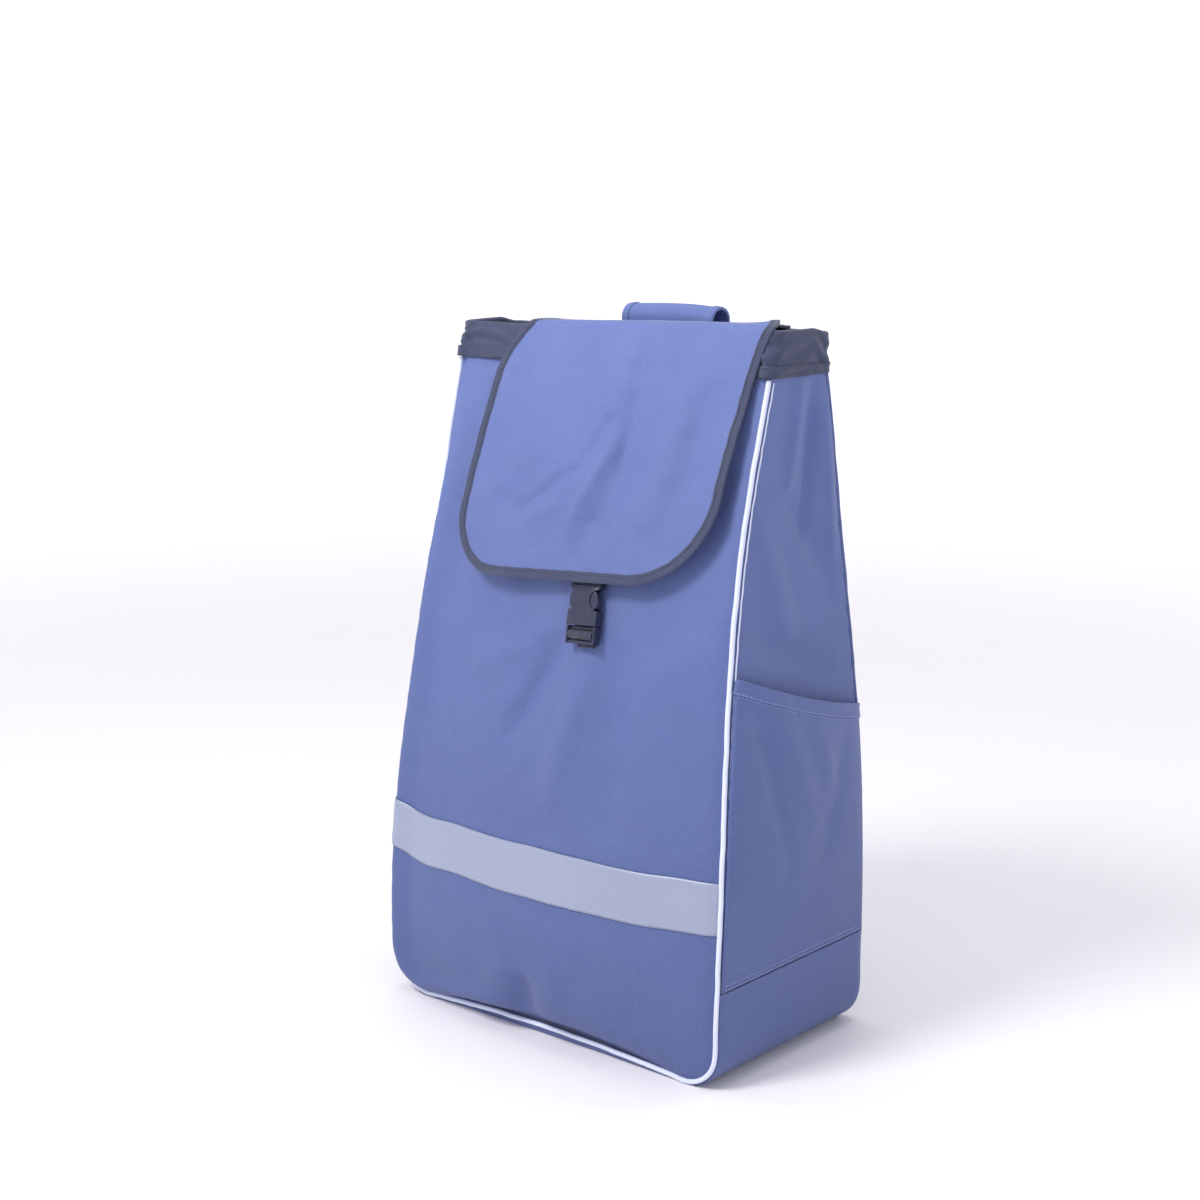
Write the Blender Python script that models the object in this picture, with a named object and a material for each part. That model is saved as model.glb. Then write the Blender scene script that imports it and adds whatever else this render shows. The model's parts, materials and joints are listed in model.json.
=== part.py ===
"""Fabric bag of a two-wheeled shopping trolley, standing upright on its own base.

Metres. The bag's front faces -Y, its right side +X, and +Z is up. The origin is the middle of
the underside. Each object is one piece of the bag: sewn panels, tapes and bindings, the lid
that folds over the mouth, and the side-release buckle that holds the lid's hem down.
Pieces that turn hang on empties which stand on their joint's axis.
"""

import math

import bmesh
import bpy
from mathutils import Matrix, Vector

# Heights of the shell
HEIGHT = 0.570  # top of the mouth band
BAND_HEIGHT = 0.036
BAND_FOOT = HEIGHT - BAND_HEIGHT
PANEL_TOP = HEIGHT - 0.004  # the panels end inside the band
BASE_RISE = 0.078  # the base panel turns up this far on both sides

# Width of the shell: widest at the base, drawn in at the waist, held out a little by the band
HALF_BASE = 0.173
HALF_WAIST = 0.1585
HALF_MOUTH = 0.1605
WAIST_FOOT = 0.10
WAIST_TOP = 0.44
CORNER = 0.038  # radius of the front and back panels' lower corners

# Lean of the front and the back
FRONT_FOOT = -0.104
FRONT_LEAN = 0.085
FRONT_POWER = 1.95
BACK_FOOT = 0.090
BACK_LEAN = 0.0445
BACK_FLAT = 0.20  # the back is truly flat below this height
BACK_POWER = 1.8
BULGE = 0.029  # the front panel's fullness
BULGE_RISE = 0.10
BULGE_POWER = 2.2
BULGE_FADE = 1.3

# Cloth and clearances
CLOTH = 0.0015
LINING = 0.0012
GAP = 0.0003
PIPING_RADIUS = 0.002
SEAM = 2 * PIPING_RADIUS + 2 * GAP  # a panel's edge stops this far from the corner line
SEAM_TAPE_WIDTH = 0.010
TRIM_GAP = 0.0005  # flat trim lies this far off the curved front panel

# Reflective tape
TAPE_FOOT = 0.123
TAPE_HEIGHT = 0.040
TAPE_THICKNESS = 0.0006

# Side pocket, on the right gusset; its hem drops towards the back
POCKET_FOOT = 0.080
POCKET_FRONT_TOP = 0.316
POCKET_BACK_TOP = 0.268
POCKET_HEM = 0.012
POCKET_HEM_THICKNESS = 0.0022
POCKET_EASE = 0.012
POCKET_EDGE = 0.01  # share of the gusset's depth left free at each seam

# Sleeve for the trolley's crossbar, behind the mouth
SLEEVE_X = -0.001
SLEEVE_HALF_WIDTH = 0.0465
SLEEVE_RADIUS = 0.0115
SLEEVE_TOP = 0.580
SLEEVE_FOOT = 0.506
SLEEVE_LAP = 0.016  # height sewn flat to the back panel
SLEEVE_START = BAND_FOOT + 0.006

# Base board
BOARD_THICKNESS = 0.003
BOARD_HALF_WIDTH = 0.137

# Lid: a top over the mouth and a flap down the front, a little to the right of the middle
LID_X = 0.015
LID_HALF_WIDTH = 0.1285
LID_LIFT = 0.0018  # the lid's underside over the band
LID_RIM = LID_LIFT + CLOTH + GAP  # height of the lid's pivots over the band
FLAP_FOOT = 0.371
FLAP_CORNER = 0.070
FLAP_GAP_TOP = 0.0030
FLAP_GAP_HEM = 0.0145
BINDING_WIDTH = 0.009
BINDING_THICKNESS = 0.0026
BINDING_STAND = (BINDING_THICKNESS - CLOTH) / 2  # the binding stands this proud of the cloth

# Side-release buckle for 20 mm webbing. Its own frame: X across, -Y away from the bag, Z along
# the buckle, with the socket's mouth at Z = 0 and the back of the buckle at Y = 0.
BUCKLE_X = 0.0315
BUCKLE_Z = 0.3400
BUCKLE_STANDOFF = 0.0032
BUCKLE_HALF_WIDTH = 0.0145
BUCKLE_DEPTH = 0.009
SOCKET_LENGTH = 0.0315
SOCKET_WALL = 0.0016
SOCKET_PROFILE = (  # shares of the depth and of the length, round the side view
    (0, 0), (-0.94, 0), (-1, 0.13), (-1, 0.76), (-0.91, 0.90), (-0.78, 1), (0, 1))
SOCKET_EDGE = 0.0009
CAVITY_FRONT = 0.77  # share of the depth
CAVITY_ROOF = SOCKET_LENGTH - 0.0025
WINDOW_RADIUS = 0.0088
WINDOW_X = 0.0152
WINDOW_Z = 0.020
HEAD_LENGTH = 0.0068
HEAD_OUTER = 0.0130
HEAD_INNER = 0.0107
SOCKET_BAR_RADIUS = 0.0016
SOCKET_BAR_Y = -0.0045
SOCKET_BAR_Z = 0.0362
SOCKET_PIVOT = Vector((0, -0.0075, 0.0340))
PLUG_TOP = -0.0012
PLUG_FOOT = -0.0170
PLUG_DEPTH = 0.0086
PLUG_SLOT_HALF = 0.0113
PLUG_SLOT_TOP = -0.0040
PLUG_SLOT_FOOT = -0.0144
PLUG_BAR_RADIUS = 0.0019
PLUG_BAR_Y = -0.0043
PLUG_BAR_Z = -0.0092
PLUG_EDGE = 0.0011
PLUG_PIVOT = Vector((0, 0.0020, -0.0208))
PRONG_BACK = -0.0022
PRONG_FRONT = -0.0063
PRONG_EDGE = 0.0004
PRONG_STEM = ((0.0054, 0.0003), (0.0091, 0.0003), (0.0093, 0.0098), (0.0110, 0.0125))
PRONG_LOBE = (0.0085, 0.0190)
PRONG_LOBE_REACH = (0.0056, 0.0078)
PRONG_TIP = ((0.0071, 0.0258), (0.0064, 0.0120))
PRONG_PIVOT = Vector((0.0074, 0, 0.0010))
WEBBING_HALF = 0.0102
WEBBING_THICKNESS = 0.0012
WEBBING_GATHER = 0.0042  # the socket's loop closes this far above its bar
PLUG_LOOP_BACK = 0.0011
PLUG_LOOP_HEIGHTS = (-0.0200, -0.0143, -0.0128)
TAB_LENGTH = 0.026
TAB_START = 0.0060  # the tab's end over the socket's bar
ANCHOR = (-0.0188, -0.0010)  # heights of the webbing sewn behind the plug

# Facets
COLUMNS = 14
ARC_STEPS = 6

COLOURS = {
    "bag_cloth": ((0.118, 0.155, 0.390), 0.62),
    "trim_cloth": ((0.070, 0.075, 0.115), 0.70),
    "piping": ((0.780, 0.820, 0.930), 0.35),
    "reflective": ((0.420, 0.470, 0.640), 0.38),
    "board": ((0.030, 0.030, 0.035), 0.60),
    "webbing": ((0.045, 0.045, 0.060), 0.80),
    "buckle_plastic": ((0.055, 0.056, 0.075), 0.42),
}


def clamp(value):
    return min(1.0, max(0.0, value))


def spread(first, last, steps):
    """steps + 1 evenly spaced numbers from first to last."""
    return [first + (last - first) * i / steps for i in range(steps + 1)]


# The shell as functions of height


def half_width(z):
    drawn_in = 0.5 - 0.5 * math.cos(math.pi * clamp((z - WAIST_FOOT) / (WAIST_TOP - WAIST_FOOT)))
    held_out = clamp((z - WAIST_TOP) / (HEIGHT - WAIST_TOP))
    return HALF_BASE - (HALF_BASE - HALF_WAIST) * drawn_in + (HALF_MOUTH - HALF_WAIST) * held_out


def front_y(z):
    return FRONT_FOOT + FRONT_LEAN * clamp(z / HEIGHT) ** FRONT_POWER


def back_y(z):
    lean = clamp((z - BACK_FLAT) / (BAND_FOOT - BACK_FLAT))
    return BACK_FOOT - BACK_LEAN * lean**BACK_POWER


def bulge(x, z):
    """How far the front panel stands out of the plane of its side seams."""
    across = 1 - min(1.0, abs(x) / half_width(z)) ** BULGE_POWER
    rise = math.sin(0.5 * math.pi * clamp(z / BULGE_RISE))
    return BULGE * across * rise * (1 - clamp(z / BAND_FOOT) ** BULGE_FADE)


def panel_y(x, z):
    """The front panel's outer face."""
    return front_y(z) - bulge(x, z)


def flap_y(x, z):
    """The flap's inner face, which stands further off the bag towards its hem."""
    down = clamp((HEIGHT - z) / (HEIGHT - FLAP_FOOT))
    return panel_y(x, z) - FLAP_GAP_TOP - (FLAP_GAP_HEM - FLAP_GAP_TOP) * down


# Blender helpers


def clear_scene():
    for obj in list(bpy.data.objects):
        bpy.data.objects.remove(obj)


def make_material(name):
    colour, roughness = COLOURS[name]
    material = bpy.data.materials.new(name)
    material.use_nodes = True
    shader = material.node_tree.nodes["Principled BSDF"]
    shader.inputs["Base Color"].default_value = (*colour, 1)
    shader.inputs["Roughness"].default_value = roughness
    shader.inputs["Metallic"].default_value = 0
    return material


def pivot_empty(name, location, parent=None, tilt=0.0):
    """An empty on a joint's axis, given in the world or in its parent's frame."""
    empty = bpy.data.objects.new(name, None)
    bpy.context.scene.collection.objects.link(empty)
    empty.location = location
    empty.rotation_euler.x = tilt
    empty.parent = parent
    return empty


def add_object(name, bm, material, pivot=None, origin=(0, 0, 0)):
    """Link a mesh object. Its mesh is given in its pivot's frame, or moved so that origin is 0."""
    bmesh.ops.translate(bm, verts=bm.verts, vec=-Vector(origin))
    mesh = bpy.data.meshes.new(name)
    bm.to_mesh(mesh)
    bm.free()
    obj = bpy.data.objects.new(name, mesh)
    bpy.context.scene.collection.objects.link(obj)
    obj.parent = pivot
    if material:
        mesh.materials.append(material)
    return obj


def solidify(obj, thickness, side):
    """Give a surface its thickness: side -1 puts it behind the faces, 1 before them, 0 half each."""
    modifier = obj.modifiers.new("Solidify", "SOLIDIFY")
    modifier.thickness = thickness
    modifier.offset = side
    modifier.use_even_offset = True


def add_sheet(name, rows, thickness, side, material, pivot=None, origin=(0, 0, 0)):
    """A cloth sheet through a grid of points. Its faces look along columns cross rows."""
    bm = bmesh.new()
    grid = [[bm.verts.new(point) for point in row] for row in rows]
    for low, high in zip(grid, grid[1:]):
        for i in range(len(low) - 1):
            bm.faces.new((low[i], low[i + 1], high[i + 1], high[i]))
    obj = add_object(name, bm, material, pivot, origin)
    obj.data.shade_smooth()
    solidify(obj, thickness, side)
    return obj


def add_tube(name, points, radius, material):
    """A round cord through the points, with closed ends."""
    curve = bpy.data.curves.new(name, "CURVE")
    curve.dimensions = "3D"
    spline = curve.splines.new("POLY")
    spline.points.add(len(points) - 1)
    for knot, point in zip(spline.points, points):
        knot.co = (*point, 1)
    curve.bevel_depth = radius
    curve.bevel_resolution = 2
    curve.use_fill_caps = True
    curve.materials.append(material)
    obj = bpy.data.objects.new(name, curve)
    bpy.context.scene.collection.objects.link(obj)
    return obj


def block_mesh(low, high):
    bm = bmesh.new()
    bmesh.ops.create_cube(bm, size=1)
    size = [b - a for a, b in zip(low, high)]
    middle = [(a + b) / 2 for a, b in zip(low, high)]
    bmesh.ops.scale(bm, verts=bm.verts, vec=size)
    bmesh.ops.translate(bm, verts=bm.verts, vec=middle)
    return bm


def rod_mesh(centre, radius, length, axis, segments=24):
    """A cylinder with its axis along X or Y."""
    bm = bmesh.new()
    turn = Matrix.Rotation(math.pi / 2, 4, "Y" if axis == "X" else "X")
    bmesh.ops.create_cone(
        bm, cap_ends=True, segments=segments, radius1=radius, radius2=radius, depth=length,
        matrix=Matrix.Translation(centre) @ turn,
    )
    return bm


def extruded_mesh(outline, place, start, end):
    """A prism: place(u, v, w) puts the outline's point (u, v) at depth w."""
    bm = bmesh.new()
    near = [bm.verts.new(place(u, v, start)) for u, v in outline]
    far = [bm.verts.new(place(u, v, end)) for u, v in outline]
    bm.faces.new(near)
    bm.faces.new(far)
    for i in range(len(outline)):
        j = (i + 1) % len(outline)
        bm.faces.new((near[i], near[j], far[j], far[i]))
    bmesh.ops.recalc_face_normals(bm, faces=bm.faces)
    return bm


def boolean(obj, operation, bm):
    """Join a mesh to obj or cut it away, in obj's own frame, with a hidden tool."""
    tool = add_object(f"{obj.name}_tool_{len(obj.modifiers)}", bm, None, obj.parent)
    tool.hide_render = True
    tool.display_type = "WIRE"
    modifier = obj.modifiers.new("Boolean", "BOOLEAN")
    modifier.operation = operation
    modifier.object = tool


def bevel(obj, width, segments=2):
    modifier = obj.modifiers.new("Bevel", "BEVEL")
    modifier.width = width
    modifier.segments = segments
    modifier.limit_method = "ANGLE"


# Outlines that several pieces share


def panel_rows(inset, surface):
    """Rows of a front or back panel, rounded at its lower corners, with edges inset from the seam."""
    radius = CORNER - inset
    rows = []
    for angle in spread(0, math.pi / 2, ARC_STEPS):
        half = HALF_BASE - CORNER + radius * math.sin(angle)
        rows.append((CORNER - radius * math.cos(angle), half))
    rows += [(z, half_width(z) - inset) for z in [*spread(CORNER, BAND_FOOT, COLUMNS)[1:], PANEL_TOP]]
    return [[(x, surface(x, z), z) for x in spread(-half, half, COLUMNS)] for z, half in rows]


def seam_line(inset, top, steps=COLUMNS):
    """Points (x, z) of the U-shaped seam, from the left top round the base to the right top."""
    radius = CORNER - inset
    right = [
        (HALF_BASE - CORNER + radius * math.sin(a), CORNER - radius * math.cos(a))
        for a in spread(0, math.pi / 2, ARC_STEPS)
    ]
    right += [(half_width(z) - inset, z) for z in spread(CORNER, top, steps)[1:]]
    return [(-x, z) for x, z in reversed(right)] + right


def seam_strip(line, front, back, columns):
    """Rows across a strip that follows a seam line, from the front to the back."""
    return [[(x, y, z) for y in spread(front(z), back(z), columns)] for x, z in line]


def mouth_loop(z, offset):
    """The shell's outline at height z as a closed loop, moved outwards by offset."""
    radius = SEAM + CLOTH / 4
    half, front, back = half_width(z), front_y(z), back_y(z)
    corners = [
        (half - radius, back - radius, 0),
        (radius - half, back - radius, 1),
        (radius - half, front + radius, 2),
        (half - radius, front + radius, 3),
    ]
    loop = []
    for x, y, quarter in corners:
        for angle in spread(quarter * math.pi / 2, (quarter + 1) * math.pi / 2, 3):
            reach = radius + offset
            loop.append((x + reach * math.cos(angle), y + reach * math.sin(angle), z))
    return loop


# The shell


def build_panels(cloth):
    """The front, the back, the base that turns up at both sides, and the two gussets."""
    add_sheet("front_panel", panel_rows(SEAM, panel_y), CLOTH, -1, cloth)
    back = panel_rows(SEAM, lambda x, z: back_y(z))
    add_sheet("back_panel", back, CLOTH, 1, cloth)

    def front_edge(z):
        return front_y(z) + SEAM

    def back_edge(z):
        return back_y(z) - SEAM

    line = seam_line(0, BASE_RISE, steps=2)
    add_sheet("base_panel", seam_strip(line, front_edge, back_edge, 2), CLOTH, -1, cloth)
    for name, side in (("gusset_left", -1), ("gusset_right", 1)):
        heights = [*spread(BASE_RISE + GAP, BAND_FOOT, COLUMNS), PANEL_TOP]
        line = [(side * half_width(z), z) for z in heights]
        add_sheet(name, seam_strip(line, front_edge, back_edge, 4), CLOTH, -side, cloth)


def build_seams(piping, trim, cloth):
    """The piping at the front, the plain rolled seam at the back, and the tapes inside both."""
    sunk = PIPING_RADIUS / 2
    top = BAND_FOOT - sunk - GAP
    line = seam_line(PIPING_RADIUS + GAP, top, steps=24)
    front = [(x, front_y(z) + sunk, z) for x, z in line]
    back = [(x, back_y(z) - sunk, z) for x, z in line]
    add_tube("front_piping", front, PIPING_RADIUS, piping)
    add_tube("back_seam", back, PIPING_RADIUS, cloth)

    start = SEAM + GAP
    line = seam_line(CLOTH + GAP, top, steps=COLUMNS)
    tapes = {
        "front_seam_tape": (
            lambda z: front_y(z) + start, lambda z: front_y(z) + start + SEAM_TAPE_WIDTH),
        "back_seam_tape": (
            lambda z: back_y(z) - start - SEAM_TAPE_WIDTH, lambda z: back_y(z) - start),
    }
    for name, (near, far) in tapes.items():
        add_sheet(name, seam_strip(line, near, far, 1), LINING, -1, trim)


def build_mouth_band(trim):
    """A channel of tape over the shell's top edge, all round the mouth."""
    outer, inner = GAP, -CLOTH - GAP
    roof = PANEL_TOP + GAP
    profile = [
        (outer + LINING, BAND_FOOT),
        (outer + LINING, HEIGHT),
        (inner - LINING, HEIGHT),
        (inner - LINING, BAND_FOOT),
        (inner, BAND_FOOT),
        (inner, roof),
        (outer, roof),
        (outer, BAND_FOOT),
    ]
    bm = bmesh.new()
    loops = [[bm.verts.new(p) for p in mouth_loop(z, offset)] for offset, z in profile]
    for i, loop in enumerate(loops):
        other = loops[(i + 1) % len(loops)]
        for j in range(len(loop)):
            k = (j + 1) % len(loop)
            bm.faces.new((loop[j], loop[k], other[k], other[j]))
    bmesh.ops.recalc_face_normals(bm, faces=bm.faces)
    add_object("mouth_band", bm, trim)


def build_base_board(material):
    clear = SEAM + GAP
    floor = CLOTH + GAP + LINING + GAP
    low = (-BOARD_HALF_WIDTH, FRONT_FOOT + clear, floor)
    high = (BOARD_HALF_WIDTH, BACK_FOOT - clear, floor + BOARD_THICKNESS)
    board = add_object("base_board", block_mesh(low, high), material)
    bevel(board, BOARD_THICKNESS / 4, 1)


def build_tape(material):
    """The reflective tape lies along the front panel, from seam to seam."""
    rows = []
    for z in spread(TAPE_FOOT, TAPE_FOOT + TAPE_HEIGHT, 3):
        half = half_width(z) - SEAM
        rows.append([(x, panel_y(x, z) - TRIM_GAP, z) for x in spread(-half, half, COLUMNS)])
    add_sheet("reflective_tape", rows, TAPE_THICKNESS, 1, material)


def build_pocket(cloth):
    """The side pocket stands off the gusset towards its hem, so that a hand goes in."""

    def point(across, z, top):
        y = front_y(z) + SEAM + (back_y(z) - front_y(z) - 2 * SEAM) * across
        up = clamp((z - POCKET_FOOT) / (top - POCKET_FOOT))
        ease = POCKET_EASE * math.sin(math.pi * across) ** 0.6 * math.sin(0.5 * math.pi * up)
        return (half_width(z) + 2 * GAP + ease, y, z)

    panel, hem = [], []
    for across in spread(POCKET_EDGE, 1 - POCKET_EDGE, 10):
        top = POCKET_FRONT_TOP + (POCKET_BACK_TOP - POCKET_FRONT_TOP) * across
        fold = top - POCKET_HEM
        panel.append([point(across, z, top) for z in spread(POCKET_FOOT, fold - GAP, 8)])
        hem.append([point(across, z, top) for z in (fold, top)])
    add_sheet("pocket_panel", [list(row) for row in zip(*panel)], LINING, 1, cloth)
    add_sheet("pocket_hem", [list(row) for row in zip(*hem)], POCKET_HEM_THICKNESS, 1, cloth)


def build_sleeve(cloth):
    """A loop of cloth behind the mouth: up the band, over the crossbar, down to the back."""
    front = back_y(HEIGHT) + LINING + 3 * GAP
    top = SLEEVE_TOP - SLEEVE_RADIUS
    middle = front + SLEEVE_RADIUS
    path = [(front, SLEEVE_START), (front, top)]
    for angle in spread(math.pi, 0, 8)[1:]:
        path.append((middle + SLEEVE_RADIUS * math.cos(angle), top + SLEEVE_RADIUS * math.sin(angle)))
    lap = (SLEEVE_FOOT + SLEEVE_LAP, SLEEVE_FOOT)
    path += [(back_y(z) + CLOTH + 3 * GAP, z) for z in lap]
    sides = (SLEEVE_X - SLEEVE_HALF_WIDTH, SLEEVE_X + SLEEVE_HALF_WIDTH)
    rows = [[(x, y, z) for x in sides] for y, z in path]
    add_sheet("bar_sleeve", rows, CLOTH, -1, cloth)


# The lid


def lid_hinge_point():
    return Vector((LID_X, back_y(HEIGHT) + GAP, HEIGHT + LID_RIM))


def fold_point():
    return Vector((LID_X, front_y(HEIGHT) - FLAP_GAP_TOP, HEIGHT + LID_RIM))


def build_lid_top(cloth, trim, pivot):
    """The part of the lid over the mouth, with bound edges left and right."""
    hinge = lid_hinge_point()
    front, back = fold_point().y + BINDING_STAND + GAP, hinge.y - GAP
    under = HEIGHT + LID_LIFT
    inner = LID_HALF_WIDTH - BINDING_WIDTH

    def rows(left, right, z, columns):
        xs = spread(LID_X + left, LID_X + right, columns)
        return [[(x, y, z) for x in xs] for y in spread(front, back, 2)]

    panel = rows(GAP - inner, inner - GAP, under, 4)
    add_sheet("lid_top_panel", panel, CLOTH, 1, cloth, pivot, hinge)
    edge = under - BINDING_STAND
    for name, side in (("lid_binding_left", -1), ("lid_binding_right", 1)):
        near, far = sorted((side * inner, side * LID_HALF_WIDTH))
        add_sheet(name, rows(near, far, edge, 1), BINDING_THICKNESS, 1, trim, pivot, hinge)


def flap_side(inset):
    """Half the flap's width and the height, from the hem's straight part up its right side."""
    radius = FLAP_CORNER - inset
    centre = FLAP_FOOT + FLAP_CORNER
    arc = [
        (LID_HALF_WIDTH - FLAP_CORNER + radius * math.sin(a), centre - radius * math.cos(a))
        for a in spread(0, math.pi / 2, 10)
    ]
    top = HEIGHT + LID_LIFT + CLOTH
    return arc + [(LID_HALF_WIDTH - inset, z) for z in spread(centre, top, 6)[1:]]


def flap_line(inset):
    """Points (x, z) round the flap's free edge, from the left top to the right top."""
    side = flap_side(inset)
    half, foot = side[0]
    hem = [(x, foot) for x in spread(-half, half, 6)[1:-1]]
    left = [(-x, z) for x, z in reversed(side)]
    return [(LID_X + x, z) for x, z in left + hem + side]


def build_flap(cloth, trim, pivot):
    """The part of the lid that hangs down the front, inside its bound edge."""
    fold = fold_point()
    rows = [
        [(x, flap_y(x, z), z) for x in spread(LID_X - half, LID_X + half, COLUMNS)]
        for half, z in flap_side(BINDING_WIDTH + GAP)
    ]
    add_sheet("flap_panel", rows, CLOTH, 1, cloth, pivot, fold)

    outer, inner = flap_line(0), flap_line(BINDING_WIDTH)
    rows = [
        [(x, flap_y(x, z) + BINDING_STAND, z) for x, z in pair] for pair in zip(inner, outer)
    ]
    add_sheet("flap_binding", rows, BINDING_THICKNESS, 1, trim, pivot, fold)


# The buckle


def buckle_frame():
    """Matrix of the buckle's frame, which leans with the front panel behind it."""
    low, high = (panel_y(BUCKLE_X, BUCKLE_Z + dz) for dz in (0, SOCKET_LENGTH))
    tilt = -math.atan2(high - low, SOCKET_LENGTH)
    back = panel_y(BUCKLE_X, BUCKLE_Z) - BUCKLE_STANDOFF
    place = Matrix.Translation((BUCKLE_X, back, BUCKLE_Z))
    return place @ Matrix.Rotation(tilt, 4, "X"), tilt


def ribbon_rows(path):
    """Rows across a webbing whose middle line is path, in the buckle's (y, z)."""
    return [[(-WEBBING_HALF, y, z), (WEBBING_HALF, y, z)] for y, z in path]


def build_socket(plastic, pivot):
    """The socket: a flat case with a mouth below, two side windows and a webbing bar on top."""
    depth, length = BUCKLE_DEPTH, SOCKET_LENGTH
    side_view = [(y * depth, z * length) for y, z in SOCKET_PROFILE]
    half = BUCKLE_HALF_WIDTH
    mesh = extruded_mesh(side_view, lambda y, z, x: (x, y, z), -half, half)
    socket = add_object("buckle_socket", mesh, plastic, pivot, SOCKET_PIVOT)

    def tool(bm):
        bmesh.ops.translate(bm, verts=bm.verts, vec=-SOCKET_PIVOT)
        return bm

    bevel(socket, SOCKET_EDGE)
    inner = half - 2 * SOCKET_WALL
    cavity = block_mesh(
        (-inner, -CAVITY_FRONT * depth, -SOCKET_WALL), (inner, -SOCKET_WALL, CAVITY_ROOF))
    boolean(socket, "DIFFERENCE", tool(cavity))
    for side in (-1, 1):
        window = rod_mesh((side * WINDOW_X, -depth / 2, WINDOW_Z), WINDOW_RADIUS, 2 * depth, "Y")
        boolean(socket, "DIFFERENCE", tool(window))
    bar_y, bar_z = SOCKET_BAR_Y, SOCKET_BAR_Z
    for side in (-1, 1):
        near, far = sorted((side * HEAD_INNER, side * HEAD_OUTER))
        arm = block_mesh(
            (near, bar_y - SOCKET_BAR_RADIUS, length - SOCKET_WALL),
            (far, bar_y + SOCKET_BAR_RADIUS, length + HEAD_LENGTH))
        boolean(socket, "UNION", tool(arm))
    bar = rod_mesh((0, bar_y, bar_z), SOCKET_BAR_RADIUS, HEAD_OUTER + HEAD_INNER, "X", 12)
    boolean(socket, "UNION", tool(bar))


def build_plug(plastic, pivot):
    """The plug's body: a frame with a bar for its webbing."""
    half = BUCKLE_HALF_WIDTH
    mesh = block_mesh((-half, -PLUG_DEPTH, PLUG_FOOT), (half, 0, PLUG_TOP))
    plug = add_object("buckle_plug", mesh, plastic, pivot, PLUG_PIVOT)
    bevel(plug, PLUG_EDGE)
    slot = block_mesh(
        (-PLUG_SLOT_HALF, -2 * PLUG_DEPTH, PLUG_SLOT_FOOT),
        (PLUG_SLOT_HALF, PLUG_DEPTH, PLUG_SLOT_TOP))
    bmesh.ops.translate(slot, verts=slot.verts, vec=-PLUG_PIVOT)
    boolean(plug, "DIFFERENCE", slot)
    bar = rod_mesh(
        (0, PLUG_BAR_Y, PLUG_BAR_Z), PLUG_BAR_RADIUS, PLUG_SLOT_HALF + BUCKLE_HALF_WIDTH, "X", 16)
    bmesh.ops.translate(bar, verts=bar.verts, vec=-PLUG_PIVOT)
    boolean(plug, "UNION", bar)


def build_prong(name, side, plastic, pivot):
    """A springy prong of the plug, whose lobe fills the socket's side window."""
    (x, z), (wide, long) = PRONG_LOBE, PRONG_LOBE_REACH
    lobe = [(x + wide * math.cos(a), z + long * math.sin(a)) for a in spread(-0.5, 1.45, 7)]
    mesh = extruded_mesh(
        [*PRONG_STEM, *lobe, *PRONG_TIP], lambda u, v, y: (side * u, y, v),
        PRONG_BACK, PRONG_FRONT)
    hinge = Vector((side * PRONG_PIVOT.x, PRONG_PIVOT.y, PRONG_PIVOT.z))
    prong = add_object(name, mesh, plastic, pivot, hinge)
    bevel(prong, PRONG_EDGE, 1)


def build_webbing(material, socket_pivot, plug_pivot):
    """The loops of webbing through the socket's and the plug's bars."""
    reach = SOCKET_BAR_RADIUS + WEBBING_THICKNESS / 2 + GAP
    gather = SOCKET_BAR_Z + WEBBING_GATHER
    path = [(SOCKET_BAR_Y - WEBBING_THICKNESS, gather)]
    for angle in spread(0.72 * math.pi, 2.28 * math.pi, 14):
        path.append((
            SOCKET_BAR_Y + reach * math.cos(angle), SOCKET_BAR_Z + reach * math.sin(angle)))
    path.append((SOCKET_BAR_Y + WEBBING_THICKNESS, gather))
    add_sheet(
        "socket_loop", ribbon_rows(path), WEBBING_THICKNESS, 0, material, socket_pivot, SOCKET_PIVOT)

    reach = PLUG_BAR_RADIUS + WEBBING_THICKNESS / 2 + 2 * GAP
    back, (low, middle, high) = PLUG_LOOP_BACK, PLUG_LOOP_HEIGHTS
    path = [(back, low), (back, middle), (0, high)]
    for angle in spread(1.62 * math.pi, 0.30 * math.pi, 12):
        path.append((PLUG_BAR_Y + reach * math.cos(angle), PLUG_BAR_Z + reach * math.sin(angle)))
    add_sheet(
        "plug_loop", ribbon_rows(path), WEBBING_THICKNESS, 0, material, plug_pivot, PLUG_PIVOT)


def build_flap_tab(material, pivot):
    """The webbing sewn behind the flap's hem, which the socket hangs from."""
    fold = fold_point()
    foot = BUCKLE_Z + SOCKET_BAR_Z + TAB_START
    rows = []
    for z in spread(foot, foot + TAB_LENGTH, 3):
        xs = spread(BUCKLE_X - WEBBING_HALF, BUCKLE_X + WEBBING_HALF, 2)
        rows.append([(x, flap_y(x, z) + 5 * GAP, z) for x in xs])
    add_sheet("flap_tab", rows, WEBBING_THICKNESS / 2, -1, material, pivot, fold)


def build_anchor(material):
    """The webbing sewn flat on the front panel behind the plug."""
    rows = []
    for z in spread(BUCKLE_Z + ANCHOR[0], BUCKLE_Z + ANCHOR[1], 3):
        xs = spread(BUCKLE_X - WEBBING_HALF, BUCKLE_X + WEBBING_HALF, 2)
        rows.append([(x, panel_y(x, z) - TRIM_GAP, z) for x in xs])
    add_sheet("webbing_anchor", rows, 0.7 * WEBBING_THICKNESS, 1, material)


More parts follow.
